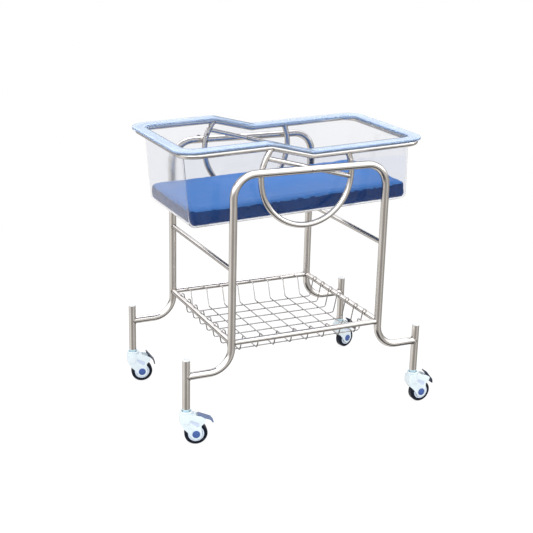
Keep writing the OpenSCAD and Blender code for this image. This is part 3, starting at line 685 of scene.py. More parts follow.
def bead_rig() -> Rig:
    """Makes the tree that lays a rippled weld bead along every guide loop.

    Returns:
        The rig.
    """
    rig = Rig("weld_beads", {"Radius": 0.0014, "Ripple": 0.25, "Ripple Scale": 420.0})
    line = rig.add("GeometryNodeMeshToCurve", {"Mesh": rig.given["Geometry"]})
    where = rig.add("GeometryNodeInputPosition")
    ripple = rig.add("ShaderNodeTexNoise", {"Vector": where, "Scale": rig.given["Ripple Scale"]})
    swing = rig.math("MULTIPLY", rig.math("SUBTRACT", ripple, 0.5), rig.given["Ripple"])
    radius = rig.math("MULTIPLY_ADD", swing, 2.0, 1.0)
    wide = rig.add("GeometryNodeSetCurveRadius", {"Curve": line, "Radius": radius})
    ring = rig.add("GeometryNodeCurvePrimitiveCircle", {"Resolution": 7, "Radius": rig.given["Radius"]})
    tube = rig.add("GeometryNodeCurveToMesh", {"Curve": wide, "Profile Curve": ring})
    if "Scale" in tube.inputs:
        rig.feed(tube.inputs["Scale"], radius)
    rig.end(tube.outputs["Mesh"])
    return rig


@dataclass(frozen=True)
class TubeJoint:
    """Where the end of one round tube meets the side of another."""

    at: Vector
    away: Vector
    radius: float
    across: Vector
    across_radius: float
    stand_off: float = 1.02

    def loop(self, parts: int = 36) -> list[Vector]:
        """Follows the line on which the two tubes meet.

        Args:
            parts: number of points.

        Returns:
            Points of the closed line.
        """
        away = self.away.normalized()
        across = self.across.normalized()
        u = away.orthogonal().normalized()
        v = away.cross(u)
        step = away - across * away.dot(across)
        a = step.dot(step)
        points = []
        for i in range(parts):
            turn = 2 * math.pi * i / parts
            ray = u * math.cos(turn) + v * math.sin(turn)
            start = self.at + ray * self.radius * self.stand_off
            side = (start - self.at) - across * (start - self.at).dot(across)
            b = 2 * side.dot(step)
            c = side.dot(side) - self.across_radius**2
            root = math.sqrt(max(b * b - 4 * a * c, 0.0))
            points.append(start + away * ((-b + root) / (2 * a)))
        return points


def loops_mesh(name: str, loops: list[list[Vector]]) -> Mesh:
    """Makes a mesh of edges from closed lines.

    Args:
        name: name of the mesh.
        loops: points of each line.

    Returns:
        The guide mesh.
    """
    edges = []
    first = 0
    for loop in loops:
        edges.extend((first + i, first + (i + 1) % len(loop)) for i in range(len(loop)))
        first += len(loop)
    mesh = bpy.data.meshes.new(name)
    mesh.from_pydata([tuple(point) for loop in loops for point in loop], edges, [])
    return mesh


@dataclass(frozen=True)
class Basin:
    """Frame of the cradle, tub and cushion: tipped a little about the pivots."""

    pivot_z: float = 870 * MM
    tilt: float = math.radians(2.3)

    def matrix(self) -> Matrix:
        """Returns the place of the basin frame in the shared frame."""
        return Matrix.Translation((0, 0, self.pivot_z)) @ Matrix.Rotation(-self.tilt, 4, "Y")


@dataclass(frozen=True)
class StepLine:
    """Side line of the cradle ring: high at the left, two bends, low at the right."""

    high: float = 76.5 * MM
    slope: float = math.radians(15.854)
    high_x: float = -130 * MM
    low_x: float = 16 * MM
    bend: float = 42 * MM

    def height(self, x: float, above: float) -> float:
        """Height of the line that runs at a set distance above the ring's middle line.

        Args:
            x: place along the bassinet.
            above: distance from the middle line.

        Returns:
            The height in the basin frame.
        """
        low = self.high - (self.low_x - self.high_x) * math.tan(self.slope)
        reach = self.bend * math.tan(self.slope / 2)
        upper = self.bend + above
        lower = self.bend - above
        cut = math.sin(self.slope)
        top_x = self.high_x - reach
        foot_x = self.low_x + reach
        if x <= top_x:
            return self.high + above
        if x <= top_x + upper * cut:
            return self.high - self.bend + math.sqrt(upper**2 - (x - top_x) ** 2)
        if x <= foot_x - lower * cut:
            start = self.high - self.bend + upper * math.cos(self.slope)
            return start - (x - top_x - upper * cut) * math.tan(self.slope)
        if x < foot_x:
            return low + self.bend - math.sqrt(lower**2 - (x - foot_x) ** 2)
        return low + above


@dataclass(frozen=True)
class Outline:
    """Rounded rectangle seen from above."""

    left: float
    right: float
    side: float
    corner: float
    least_corner: float = 0.6 * MM

    def inset(self, by: float) -> "Outline":
        """Returns the same outline drawn in all round."""
        corner = max(self.corner - by, self.least_corner)
        return Outline(self.left - by, self.right - by, self.side - by, corner)

    def points(self, corner_parts: int, long_parts: int, short_parts: int) -> list[tuple[float, float]]:
        """Walks once round, leftward along the rear first.

        Args:
            corner_parts: steps in a corner.
            long_parts: steps on a long side.
            short_parts: steps on a short side.

        Returns:
            Points, the same number for every outline.
        """
        r = self.corner
        middles = [
            (self.right - r, self.side - r), (r - self.left, self.side - r),
            (r - self.left, r - self.side), (self.right - r, r - self.side),
        ]
        found = []
        for k, (cx, cy) in enumerate(middles):
            for i in range(corner_parts + 1):
                turn = math.pi / 2 * (k + i / corner_parts)
                found.append((cx + r * math.cos(turn), cy + r * math.sin(turn)))
            nx, ny = middles[(k + 1) % 4]
            sx, sy = found[-1]
            parts = long_parts if k % 2 == 0 else short_parts
            for i in range(1, parts):
                found.append((sx + (nx - cx) * i / parts, sy + (ny - cy) * i / parts))
        return found


def rounding(radius: float, *turns: float) -> Iterator[tuple[float, float]]:
    """Walks along a rounded edge.

    Args:
        radius: its radius.
        turns: angles above the level direction, in degrees.

    Returns:
        How far each point lies in from the outer face and down from the top face.
    """
    for turn in turns:
        angle = math.radians(turn)
        yield radius * (1 - math.cos(angle)), radius * (1 - math.sin(angle))


@dataclass
class Tub:
    """Clear tub: drafted shell with a stepped lip and a short skirt."""

    palette: Palette
    basin: Basin = field(default_factory=Basin)
    step: StepLine = field(default_factory=StepLine)
    top: Outline = Outline(400.5 * MM, 405 * MM, 206 * MM, 40 * MM)
    floor: Outline = Outline(387 * MM, 398 * MM, 196 * MM, 22 * MM)
    lip: Outline = Outline(435 * MM, 435 * MM, 247.5 * MM, 62 * MM)
    top_z: float = 95 * MM
    drop: float = 166 * MM
    wall: float = 4 * MM
    seat: float = 9.8 * MM
    lip_t: float = 6 * MM
    skirt_drop: float = 3 * MM
    skirt_t: float = 3 * MM
    inner_r: float = 2.6 * MM
    outer_r: float = 2.4 * MM
    hem_r: float = 1.2 * MM
    fillet: float = 5 * MM
    middle_inset: float = 90 * MM
    parts: tuple[int, int, int] = (12, 88, 20)

    def __post_init__(self) -> None:
        """Lays out the foot and the top of the wall, for its outer and its inner face."""
        self.foot_z = self.floor.corner - self.drop
        self.faces = {
            inset: [outline.inset(inset).points(*self.parts) for outline in (self.floor, self.top)]
            for inset in (0.0, self.wall)
        }

    def wall_point(self, i: int, z: float, inset: float) -> tuple[float, float]:
        """Finds one point of the drafted wall.

        Args:
            i: number of the point along the outline.
            z: its height.
            inset: how far the face lies inside the outer one.

        Returns:
            The point seen from above.
        """
        share = (z - self.foot_z) / (self.top_z - self.foot_z)
        (ax, ay), (bx, by) = (outline[i] for outline in self.faces[inset])
        return ax + (bx - ax) * share, ay + (by - ay) * share

    def floor_ring(self, inset: float) -> Ring:
        """Returns the ring that bounds the flat middle of the floor."""
        flat = self.floor.inset(inset + self.middle_inset).points(*self.parts)
        return [(x, y, inset - self.drop) for x, y in flat]

    def foot_ring(self, inset: float, turn: float) -> Ring:
        """Lays one ring on the rounding between floor and wall.

        Args:
            inset: how far the face lies inside the outer one.
            turn: angle below the level direction, in degrees.

        Returns:
            The ring.
        """
        r = self.floor.corner - inset
        angle = math.radians(turn)
        flat = self.floor.inset(inset).inset(r * (1 - math.cos(angle))).points(*self.parts)
        return [(x, y, self.foot_z - r * math.sin(angle)) for x, y in flat]

    def wall_ring(self, inset: float, share: float, above: float) -> Ring:
        """Lays one ring on the wall, level at the foot and stepped at the top.

        Args:
            inset: how far the face lies inside the outer one.
            share: share of the way up.
            above: height of the wall's end above the step line.

        Returns:
            The ring.
        """
        ring = []
        for i in range(len(self.faces[inset][0])):
            x, _y = self.wall_point(i, self.step.high, inset)
            z = self.foot_z + share * (self.step.height(x, above) - self.foot_z)
            ring.append((*self.wall_point(i, z, inset), z))
        return ring

    def lip_ring(self, inset: float, off: float, edge: float, share: float, above: float) -> Ring:
        """Lays one ring on the lip or its skirt.

        Args:
            inset: how far the wall's face lies inside the outer one.
            off: distance from the wall at which the share starts.
            edge: how far inside the outer edge it ends.
            share: share of the way out.
            above: height above the step line.

        Returns:
            The ring.
        """
        ring = []
        for i, (ox, oy) in enumerate(self.lip.inset(edge).points(*self.parts)):
            wx, wy = self.wall_point(i, self.step.high, inset)
            near = off / math.hypot(ox - wx, oy - wy)
            out = near + (1 - near) * share
            x, y = wx + (ox - wx) * out, wy + (oy - wy) * out
            ring.append((x, y, self.step.height(x, above)))
        return ring

    def section(self) -> Iterator[tuple[Ring, int]]:
        """Lays out the closed section of the shell.

        Returns:
            Each ring from the inner floor round to the outer floor, with the material slot
            of the band after it.
        """
        clear, tint = 0, 1
        wall, skirt = self.wall, self.skirt_t
        lip_top = self.seat + self.lip_t
        hem = self.seat - self.skirt_drop
        foot_turns = (0, 18, 36, 54, 72, 90)
        wall_shares = (0.22, 0.45, 0.68, 0.86)
        lip_shares = (0.2, 0.45, 0.7, 0.9)
        under_share = 0.6
        yield self.floor_ring(wall), clear
        for turn in reversed(foot_turns):
            yield self.foot_ring(wall, turn), clear
        for share in wall_shares:
            yield self.wall_ring(wall, share, lip_top - self.inner_r), clear
        yield self.wall_ring(wall, 1.0, lip_top - self.inner_r), tint
        for off, down in rounding(self.inner_r, 30, 60, 90):
            yield self.lip_ring(wall, off, self.outer_r, 0.0, lip_top - down), tint
        for share in lip_shares:
            yield self.lip_ring(wall, self.inner_r, self.outer_r, share, lip_top), tint
        for edge, down in rounding(self.outer_r, 90, 65, 40, 20):
            yield self.lip_ring(wall, 0.0, edge, 1.0, lip_top - down), tint
        yield self.lip_ring(wall, 0.0, 0.0, 1.0, lip_top - self.outer_r), clear
        for turn in (0, 45, 90, 135, 180):
            edge = skirt / 2 * (1 - math.cos(math.radians(turn)))
            down = self.hem_r * math.sin(math.radians(turn))
            yield self.lip_ring(wall, 0.0, edge, 1.0, hem + self.hem_r - down), clear
        yield self.lip_ring(wall, 0.0, skirt, 1.0, self.seat), tint
        yield self.lip_ring(0.0, self.fillet, skirt, under_share, self.seat), tint
        for off, down in rounding(self.fillet, 90, 60, 30):
            yield self.lip_ring(0.0, off, skirt, 0.0, self.seat - down), tint
        yield self.lip_ring(0.0, 0.0, skirt, 0.0, self.seat - self.fillet), clear
        for share in reversed(wall_shares):
            yield self.wall_ring(0.0, share, self.seat - self.fillet), clear
        for turn in foot_turns:
            yield self.foot_ring(0.0, turn), clear
        yield self.floor_ring(0.0), clear

    def build(self) -> None:
        """Builds the shell and lets it stand for the CAD tub."""
        rings, marks = zip(*self.section())
        mesh = ring_mesh("tub_shell", rings, marks)
        mesh.transform(self.basin.matrix())
        made = self.palette.made
        tub = make_object("tub_shell", mesh, made["clear_tub"], made["tinted_lip"])
        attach(tub, "tub_body")
        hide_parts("tub")
        log.info("tub: %d faces", len(mesh.polygons))


def bell(value: np.ndarray, middle: float, width: float, power: int = 2) -> np.ndarray:
    """Returns a hump of height one round a middle value."""
    return np.exp(-(((value - middle) / width) ** power))


@dataclass
class Cushion:
    """Covered cushion: crowned top, sides drawn in, creases and folded corners.

    A fold size that is a pair gives the ends of a random range. A corner cut has its angle at the
    foot, how far that turns up to the top, its width in degrees, its depth and the share of the
    height at which it ends. A wave has its swing and its rate. A hump has its middle and its width
    as shares of the height, and its power. The profile and the roll go up the side: the profile in
    pairs of inset and height, the roll in pairs of share of the height and inset.
    """

    palette: Palette
    basin: Basin = field(default_factory=Basin)
    shift_x: float = 5.5 * MM
    half_x: float = 387.5 * MM
    half_y: float = 191 * MM
    base_z: float = -161.7 * MM
    height: float = 55 * MM
    crown: float = 5 * MM
    corner: float = 24 * MM
    shade_edge_inset: float = 4.5 * MM
    shade_edge_share: float = 0.8
    start_in: float = 3 * MM
    voxel: float = 6 * MM
    pressure: float = 4.0
    frames: int = 20
    most_move: float = 6 * MM
    seed: int = 11
    side_start: float = 30 * MM
    side_run: float = 22 * MM
    end_free: float = 18 * MM
    fold_wide: tuple[float, float] = (3.5 * MM, 9.0 * MM)
    fold_deep: tuple[float, float] = (0.6 * MM, 3.0 * MM)
    fold_step: tuple[float, float] = (9.0 * MM, 30.0 * MM)
    fold_foot: tuple[float, float] = (0.0, 0.5)
    fold_lean: float = 0.9
    fade_run: float = 0.35
    fade_share: float = 0.6
    waist: float = 1.6 * MM
    side_hump: tuple[float, float, int] = (0.5, 0.42, 4)
    corner_hump: tuple[float, float, int] = (0.52, 0.5, 6)
    edge_hump: tuple[float, float] = (0.98, 0.14)
    rim_start: float = 0.88
    rim_run: float = 0.08
    top_start: float = 0.95
    top_squeeze: float = 1.4
    corner_reach: float = 30 * MM
    corner_start: float = 16 * MM
    corner_run: float = 12 * MM
    corner_cuts: tuple[tuple[float, float, float, float, float], ...] = (
        (28, 34, 6.0, 4.6 * MM, 1.2), (30, 10, 5.0, 3.8 * MM, 0.92),
        (80, 0, 4.0, 1.0 * MM, 1.2), (50, 0, 8.0, -1.0 * MM, 1.2),
    )
    edge_waves: tuple[tuple[float, float], ...] = ((3.2 * MM, 62.0),)
    top_waves: tuple[tuple[float, float], ...] = ((1.1 * MM, 9.0), (0.35 * MM, 31.0))
    soft_edge: float = 1.5 * MM
    clearance: float = 0.6 * MM
    side_free: float = 0.8 * MM
    crown_shares: tuple[float, ...] = (0.965, 0.92, 0.85, 0.74, 0.6, 0.42, 0.22)
    crown_start: float = 0.9
    top_free: float = 0.4 * MM
    foot_share: float = 0.5
    profile_mm: tuple[tuple[float, float], ...] = (
        (14.0, 0.0), (11.5, 1.0), (7.5, 3.0), (4.5, 6.0), (1.5, 12.0), (0.0, 20.0), (0.4, 30.0),
        (0.2, 38.0), (0.4, 44.0), (1.6, 49.0), (4.6, 53.0), (9.0, 54.6),
    )
    roll_mm: tuple[tuple[float, float], ...] = (
        (0, 17.3), (0.08, 7.7), (0.24, 1.9), (0.5, 0), (0.76, 0.6), (0.93, 3.0), (1.0, 8.0),
    )

    def cage(self) -> Mesh:
        """Builds the slightly small closed form that the cushion starts from.

        Returns:
            The mesh in the cushion's own frame, its base on z = 0.
        """
        room = Outline(self.half_x, self.half_x, self.half_y, self.corner).inset(self.start_in)
        rings = []
        for inset, z in self.profile_mm:
            rings.append([(x, y, z * MM) for x, y in room.inset(inset * MM).points(10, 96, 48)])
        foot, edge = rings[0], rings[-1]
        for share in self.crown_shares:
            z = self.height + self.crown * (1 - share**3) * self.crown_start - self.top_free
            rings.append([(x * share, y * share, z) for x, y, _z in edge])
        rings.insert(0, [(x * self.foot_share, y * self.foot_share, 0.0) for x, y, _z in foot])
        return ring_mesh("cushion_cage", rings)

    def inflate(self, piece: Piece) -> None:
        """Swells the cushion with a short cloth simulation and caps how far a point moves.

        Args:
            piece: the cushion in its own frame.
        """
        rest = self.read(piece.data)
        cloth = piece.modifiers.new("Cloth", "CLOTH")
        cloth.settings.use_pressure = True
        cloth.settings.uniform_pressure_force = self.pressure
        cloth.settings.effector_weights.gravity = 0.0
        cloth.settings.tension_stiffness = 12
        cloth.settings.bending_stiffness = 0.6
        cloth.settings.quality = 6
        cloth.collision_settings.use_collision = False
        for frame in range(1, self.frames + 1):
            bpy.context.scene.frame_set(frame)
        settle(piece)
        bpy.context.scene.frame_set(1)
        change = self.read(piece.data) - rest
        length = np.linalg.norm(change, axis=1)
        scale = np.minimum(1.0, self.most_move / np.maximum(length, 1e-9))
        self.write(piece.data, rest + change * scale[:, None])

    @staticmethod
    def read(mesh: Mesh) -> np.ndarray:
        """Reads the corners of a mesh.

        Args:
            mesh: the mesh.

        Returns:
            One row for each corner.
        """
        flat = np.zeros(len(mesh.vertices) * 3, np.float32)
        mesh.vertices.foreach_get("co", flat)
        return flat.reshape(-1, 3).astype(float)

    @staticmethod
    def write(mesh: Mesh, rows: np.ndarray) -> None:
        """Sets the corners of a mesh from rows."""
        mesh.vertices.foreach_set("co", rows.astype(np.float32).ravel())
        mesh.update()

    def folds(self, mesh: Mesh) -> None:
        """Presses the creases of the cover into the sides, the top edge and the corners.

        Args:
            mesh: the cushion in its own frame.
        """
        rows = self.read(mesh)
        pick = random.Random(self.seed)
        x, y, z = rows.T.copy()
        tall = np.clip(z / self.height, 0, 1.2)
        on_side = bell(tall, *self.side_hump)
        along_x, along_y = (1, self.half_x, self.half_y, x, y), (0, self.half_y, self.half_x, y, x)
        for across, reach, half, where, off in (along_x, along_y):
            weight = np.clip((np.abs(off) - (half - self.side_start)) / self.side_run, 0, 1)
            for sense in (-1, 1):
                here = weight * on_side * (np.sign(rows[:, across]) == sense)
                depth = np.zeros(len(rows))
                at = self.end_free - reach
                while at < reach - self.end_free:
                    wide = pick.uniform(*self.fold_wide)
                    lean = pick.uniform(-self.fold_lean, self.fold_lean)
                    deep = pick.uniform(*self.fold_deep)
                    low = pick.uniform(*self.fold_foot)
                    line = where - at - lean * (z - self.height / 2)
                    rise = np.clip((tall - low) / self.fade_run, 0, 1)
                    fade = rise if pick.random() < self.fade_share else 1.0
                    depth += deep * bell(line, 0, wide) * fade
                    at += pick.uniform(*self.fold_step)
                waist = self.waist * np.cos(np.clip(where / reach, -1, 1) * math.pi / 2)
                rows[:, across] -= sense * here * (depth + waist)
        self.corner_folds(rows, x, y, np.clip(z / self.height, 0, 1.1))
        self.top_edge(rows, x, y, tall)
        rows[:, 2] = np.maximum(rows[:, 2], 0.0)
        self.write(mesh, rows)

    def corner_folds(self, rows: np.ndarray, x: np.ndarray, y: np.ndarray, climb: np.ndarray) -> None:
        """Tucks a three-cornered fold into each corner.

        Args:
            rows: corners of the mesh, changed in place.
            x: places along the cushion before the folds.
            y: places across it.
            climb: share of the height.
        """
        for sx, sy in ((-1, -1), (-1, 1), (1, -1), (1, 1)):
            dx = x * sx - (self.half_x - self.corner)
            dy = y * sy - (self.half_y - self.corner)
            out_x, out_y = np.maximum(dx, 0), np.maximum(dy, 0)
            far = np.hypot(out_x, out_y)
            near = (dx > -self.corner_reach) & (dy > -self.corner_reach)
            skin = np.clip((far - self.corner_start) / self.corner_run, 0, 1) * near
            turn = np.degrees(np.arctan2(dy, dx))
            cut = np.zeros(len(rows))
            for angle, rise, width, deep, end in self.corner_cuts:
                cut += deep * bell(turn, angle + rise * climb, width) * (climb < end)
            press = skin * cut * bell(climb, *self.corner_hump)
            spread = np.maximum(far, 1e-6)
            rows[:, 0] -= sx * press * np.clip(out_x / spread, 0, 1)
            rows[:, 1] -= sy * press * np.clip(out_y / spread, 0, 1)

    def top_edge(self, rows: np.ndarray, x: np.ndarray, y: np.ndarray, tall: np.ndarray) -> None:
        """Makes the top edge uneven, as a cover gathered by its own seams, and the top a little wavy.

        Args:
            rows: corners of the mesh, changed in place.
            x: places along the cushion.
            y: places across it.
            tall: share of the height.
        """
        rim = np.maximum(np.abs(x) / self.half_x, np.abs(y) / self.half_y)
        band = bell(tall, *self.edge_hump) * np.clip((rim - self.rim_start) / self.rim_run, 0, 1)
        for i in np.nonzero(band > 0.01)[0]:
            here = Vector((float(x[i]), float(y[i]), 0.0))
            rows[i, 2] += band[i] * sum(swing * noise.noise(here * rate) for swing, rate in self.edge_waves)
        for i in np.nonzero(tall > self.top_start)[0]:
            here = Vector((float(x[i]), float(y[i]) * self.top_squeeze, 3.0))
            rows[i, 2] += sum(swing * noise.noise(here * rate) for swing, rate in self.top_waves)

    def fit(self, mesh: Mesh) -> None:
        """Keeps the cushion inside the room that the CAD cushion has.

        Args:
            mesh: the cushion in its own frame.
        """
        rows = self.read(mesh)
        heights, rolls = zip(*self.roll_mm)
        roll = np.interp(rows[:, 2] / self.height, heights, rolls) * MM
        for across, reach in ((0, self.half_x), (1, self.half_y)):
            rows[:, across] *= (reach - self.side_free) / np.abs(rows[:, across]).max()
            start = reach - self.clearance - self.soft_edge - roll
            over = np.abs(rows[:, across]) - start
            bent = np.where(over > 0, self.soft_edge * np.tanh(over / self.soft_edge), over)
            rows[:, across] = np.sign(rows[:, across]) * (bent + start)
        rows[:, 2] = np.clip(rows[:, 2], 0.0, self.height + self.crown)
        self.write(mesh, rows)

    def panels(self, mesh: Mesh) -> None:
        """Gives the sides a darker copy of the cover cloth, a painted shade, up to a line just inside the
        top edge.

        Args:
            mesh: the cushion in its own frame.
        """
        middle = np.zeros(len(mesh.polygons) * 3, np.float32)
        mesh.polygons.foreach_get("center", middle)
        x, y, z = middle.reshape(-1, 3).T
        past_x = np.abs(x) - (self.half_x - self.corner)
        past_y = np.abs(y) - (self.half_y - self.corner)
        round_off = np.hypot(np.maximum(past_x, 0), np.maximum(past_y, 0))
        depth = self.corner - round_off - np.minimum(np.maximum(past_x, past_y), 0)
        flat = (depth > self.shade_edge_inset) & (z > self.shade_edge_share * self.height)
        mesh.polygons.foreach_set("material_index", np.where(flat, 0, 1).astype(np.int32))

    def build(self) -> None:
        """Builds the cushion and lets it stand for the CAD cushion."""
        piece = make_object("cushion_cover", self.cage())
        even = piece.modifiers.new("Even", "REMESH")
        even.mode = "VOXEL"
        even.voxel_size = self.voxel
        settle(piece)
        self.inflate(piece)
        self.fit(piece.data)
        fine = piece.modifiers.new("Fine", "SUBSURF")
        fine.levels = 1
        fine.render_levels = 1
        settle(piece)
        mesh = piece.data
        self.folds(mesh)
        self.fit(mesh)
        coat(mesh, self.palette.made["cushion_cover"], self.palette.made["cushion_side_painted_shade"])
        # Painted shade: faces below and outside the top's edge take the darker copy of the cover cloth.
        self.panels(mesh)
        mesh.transform(self.basin.matrix() @ Matrix.Translation((self.shift_x, 0, self.base_z)))
        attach(piece, "mattress_body")
        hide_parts("mattress")
        log.info("cushion: %d faces", len(mesh.polygons))


def spaced(count: int, pitch: float) -> list[float]:
    """Returns places that are evenly spaced round nought."""
    return [(k - (count - 1) / 2) * pitch for k in range(count)]


@dataclass
class Stand:
    """Bent tube stand with its rails, bars, post plugs and wire basket."""

    palette: Palette
    nodes: dict[str, Piece]
    tube_r: float = 12.5 * MM
    rail_r: float = 9.5 * MM
    bar_r: float = 8.0 * MM
    post_x: float = 423 * MM
    leg_x: float = 269 * MM
    side_y: float = 267 * MM
    outrigger_z: float = 232 * MM
    basket_z: float = 324 * MM
    bar_left_z: float = 567 * MM
    bar_right_z: float = 600 * MM
    long_wires: int = 7
    long_pitch: float = 62 * MM
    cross_wires: int = 8
    cross_pitch: float = 61 * MM
    crossing_z: float = 267.4 * MM
    end_spot_up: float = 0.4 * MM
    side_spot_in: float = 9.2 * MM
    side_spot_up: float = 4 * MM

    def dress(self) -> None:
        """Gives the stand's CAD nodes their finishes."""
        self.palette.dress(self.nodes, {
            "steel_all_ways": ("side_frame_front", "side_frame_rear"),
            "steel_along_x": ("basket_rail_front", "basket_rail_rear"),
            "steel_along_y": ("basket_rail_left", "basket_rail_right", "cross_bar_left", "cross_bar_right"),
            "steel_along_z": tuple("post_" + corner for corner in CORNERS),
            "post_plug": tuple("post_cap_" + corner for corner in CORNERS),
            "basket_wire": ("basket_long_wires", "basket_cross_wires"),
            "turned_steel": ("pivot_bolts", "pivot_spacers", "pivot_nuts", "lock_housing", "lock_pin"),
            "knob_grey": ("lock_knob",),
        })

    def joints(self) -> list[TubeJoint]:
        """Lists every welded tube joint of the stand.

        Returns:
            The joints.
        """
        x_way, y_way, z_way = Vector((1, 0, 0)), Vector((0, 1, 0)), Vector((0, 0, 1))
        found = []
        for side in Side:
            for end in End:
                inward, across = -end.value * x_way, -side.value * y_way
                post = Vector((end.value * self.post_x, side.value * self.side_y, self.outrigger_z))
                leg = Vector((end.value * self.leg_x, side.value * self.side_y, self.basket_z))
                bar = Vector((leg.x, leg.y, self.bar_left_z if end is End.LEFT else self.bar_right_z))
                for at, away, radius in (
                    (post, inward, self.tube_r), (leg, inward, self.rail_r),
                    (leg, across, self.rail_r), (bar, across, self.bar_r),
                ):
                    found.append(TubeJoint(at, away, radius, z_way, self.tube_r))
        return found

    def spots(self) -> list[Triple]:
        """Lists every spot weld of the basket.

        Returns:
            Points where wires cross and where they end on the rails.
        """
        across, along = spaced(self.cross_wires, self.cross_pitch), spaced(self.long_wires, self.long_pitch)
        top = self.basket_z + self.rail_r + self.end_spot_up
        inner = self.side_y - self.side_spot_in
        rise = self.basket_z + self.side_spot_up
        found = [(x, y, self.crossing_z) for x in across for y in along]
        found += [(end.value * self.leg_x, y, top) for end in End for y in along]
        found += [(x, side.value * inner, rise) for side in Side for x in across]
        return found

    def build(self, beads: Rig, spots: Rig) -> None:
        """Adds the weld beads of the tubes and the spot welds of the basket.

        Args:
            beads: tree that lays a bead along a loop.
            spots: tree that sets a spot on a point.
        """
        finish = self.palette.made["weld_bead"]
        joints, points = self.joints(), self.spots()
        guide = loops_mesh("stand_joints", [joint.loop() for joint in joints])
        piece = beads.run("stand_welds", guide, {"Radius": 1.5 * MM, "Ripple": 0.3, "Finish": finish})
        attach(piece, "stand")
        guide = bpy.data.meshes.new("basket_points")
        guide.from_pydata(points, [], [])
        piece = spots.run("basket_welds", guide, {"Radius": 2.5 * MM, "Seed": 4, "Finish": finish})
        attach(piece, "stand")
        log.info("stand: %d joints and %d spots welded", len(joints), len(points))


@dataclass
class Cradle:
    """Stepped ring, two hoops and two pivot chords."""

    palette: Palette
    nodes: dict[str, Piece]
    basin: Basin = field(default_factory=Basin)
    step: StepLine = field(default_factory=StepLine)
    ring_r: float = 9.5 * MM
    chord_r: float = 8.0 * MM
    cradle_y: float = 236 * MM
    hoop_x: float = -4.7 * MM
    hoop_drop: float = 28.8 * MM
    hoop_r: float = 159.5 * MM
    hoop_left: float = math.radians(139.9)
    hoop_right: float = math.radians(22.4)
    chord_slope: float = math.radians(17.2)
    hoop_steps: int = 8

    def dress(self) -> None:
        """Gives the cradle's CAD nodes their finishes."""
        plan = {"steel_all_ways": ("ring_tube", "hoop_front", "hoop_rear")}
        self.palette.dress(self.nodes, {**plan, "steel_along_x": ("chord_front", "chord_rear")})

    def hoop_joint(self, middle: Vector, angle: float, sense: int) -> TubeJoint:
        """Finds where one end of a hoop runs into the ring.

        Args:
            middle: centre of the hoop.
            angle: place on the hoop near its end.
            sense: way along the hoop that leaves the ring.

        Returns:
            The joint.
        """
        ray = Vector((math.cos(angle), 0, math.sin(angle)))
        away = sense * Vector((-ray.z, 0, ray.x))
        meet = middle + ray * self.hoop_r
        for _ in range(self.hoop_steps):
            meet = meet + away * ((self.step.height(meet.x, 0.0) - meet.z) / away.z)
        run = self.step.height(meet.x + MM, 0.0) - self.step.height(meet.x - MM, 0.0)
        return TubeJoint(meet, away, self.ring_r, Vector((2 * MM, 0, run)), self.ring_r)

    def chord_joint(self, middle: Vector, line: Vector) -> TubeJoint:
        """Finds where one end of a chord runs into its hoop.

        Args:
            middle: centre of the hoop.
            line: direction from the pivot to that end.

        Returns:
            The joint.
        """
        start = Vector((0, middle.y, 0))
        off = start - middle
        b = off.dot(line)
        meet = start + line * (-b + math.sqrt(b * b - off.dot(off) + self.hoop_r**2))
        around = (meet - middle).cross(Vector((0, 1, 0)))
        return TubeJoint(meet, -line, self.chord_r, around, self.ring_r)

    def joints(self) -> list[TubeJoint]:
        """Lists every welded joint of the cradle, in the basin frame.

        Returns:
            The joints.
        """
        way = Vector((math.cos(self.chord_slope), 0, -math.sin(self.chord_slope)))
        found = []
        for side in Side:
            middle = Vector((self.hoop_x, side.value * self.cradle_y, -self.hoop_drop))
            found.append(self.hoop_joint(middle, self.hoop_left, 1))
            found.append(self.hoop_joint(middle, self.hoop_right, -1))
            found += [self.chord_joint(middle, line) for line in (-way, way)]
        return found

    def build(self, beads: Rig) -> None:
        """Adds the weld beads.

        Args:
            beads: tree that lays a bead along a loop.
        """
        place = self.basin.matrix()
        loops = [[place @ p for p in joint.loop()] for joint in self.joints()]
        sizes = {"Radius": 1.3 * MM, "Ripple": 0.3, "Finish": self.palette.made["weld_bead"]}
        piece = beads.run("cradle_welds", loops_mesh("cradle_joints", loops), sizes)
        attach(piece, "cradle")
        log.info("cradle: %d joints welded", len(loops))


def shade_by_angle(mesh: Mesh, limit: float) -> None:
    """Shades a mesh smooth, with sharp edges past an angle.

    Args:
        mesh: the mesh.
        limit: angle between faces past which an edge stays sharp.
    """
    shape = bmesh.new()
    shape.from_mesh(mesh)
    for edge in shape.edges:
        edge.smooth = len(edge.link_faces) == 2 and edge.calc_face_angle() < limit
    for face in shape.faces:
        face.smooth = True
    shape.to_mesh(mesh)
    shape.free()


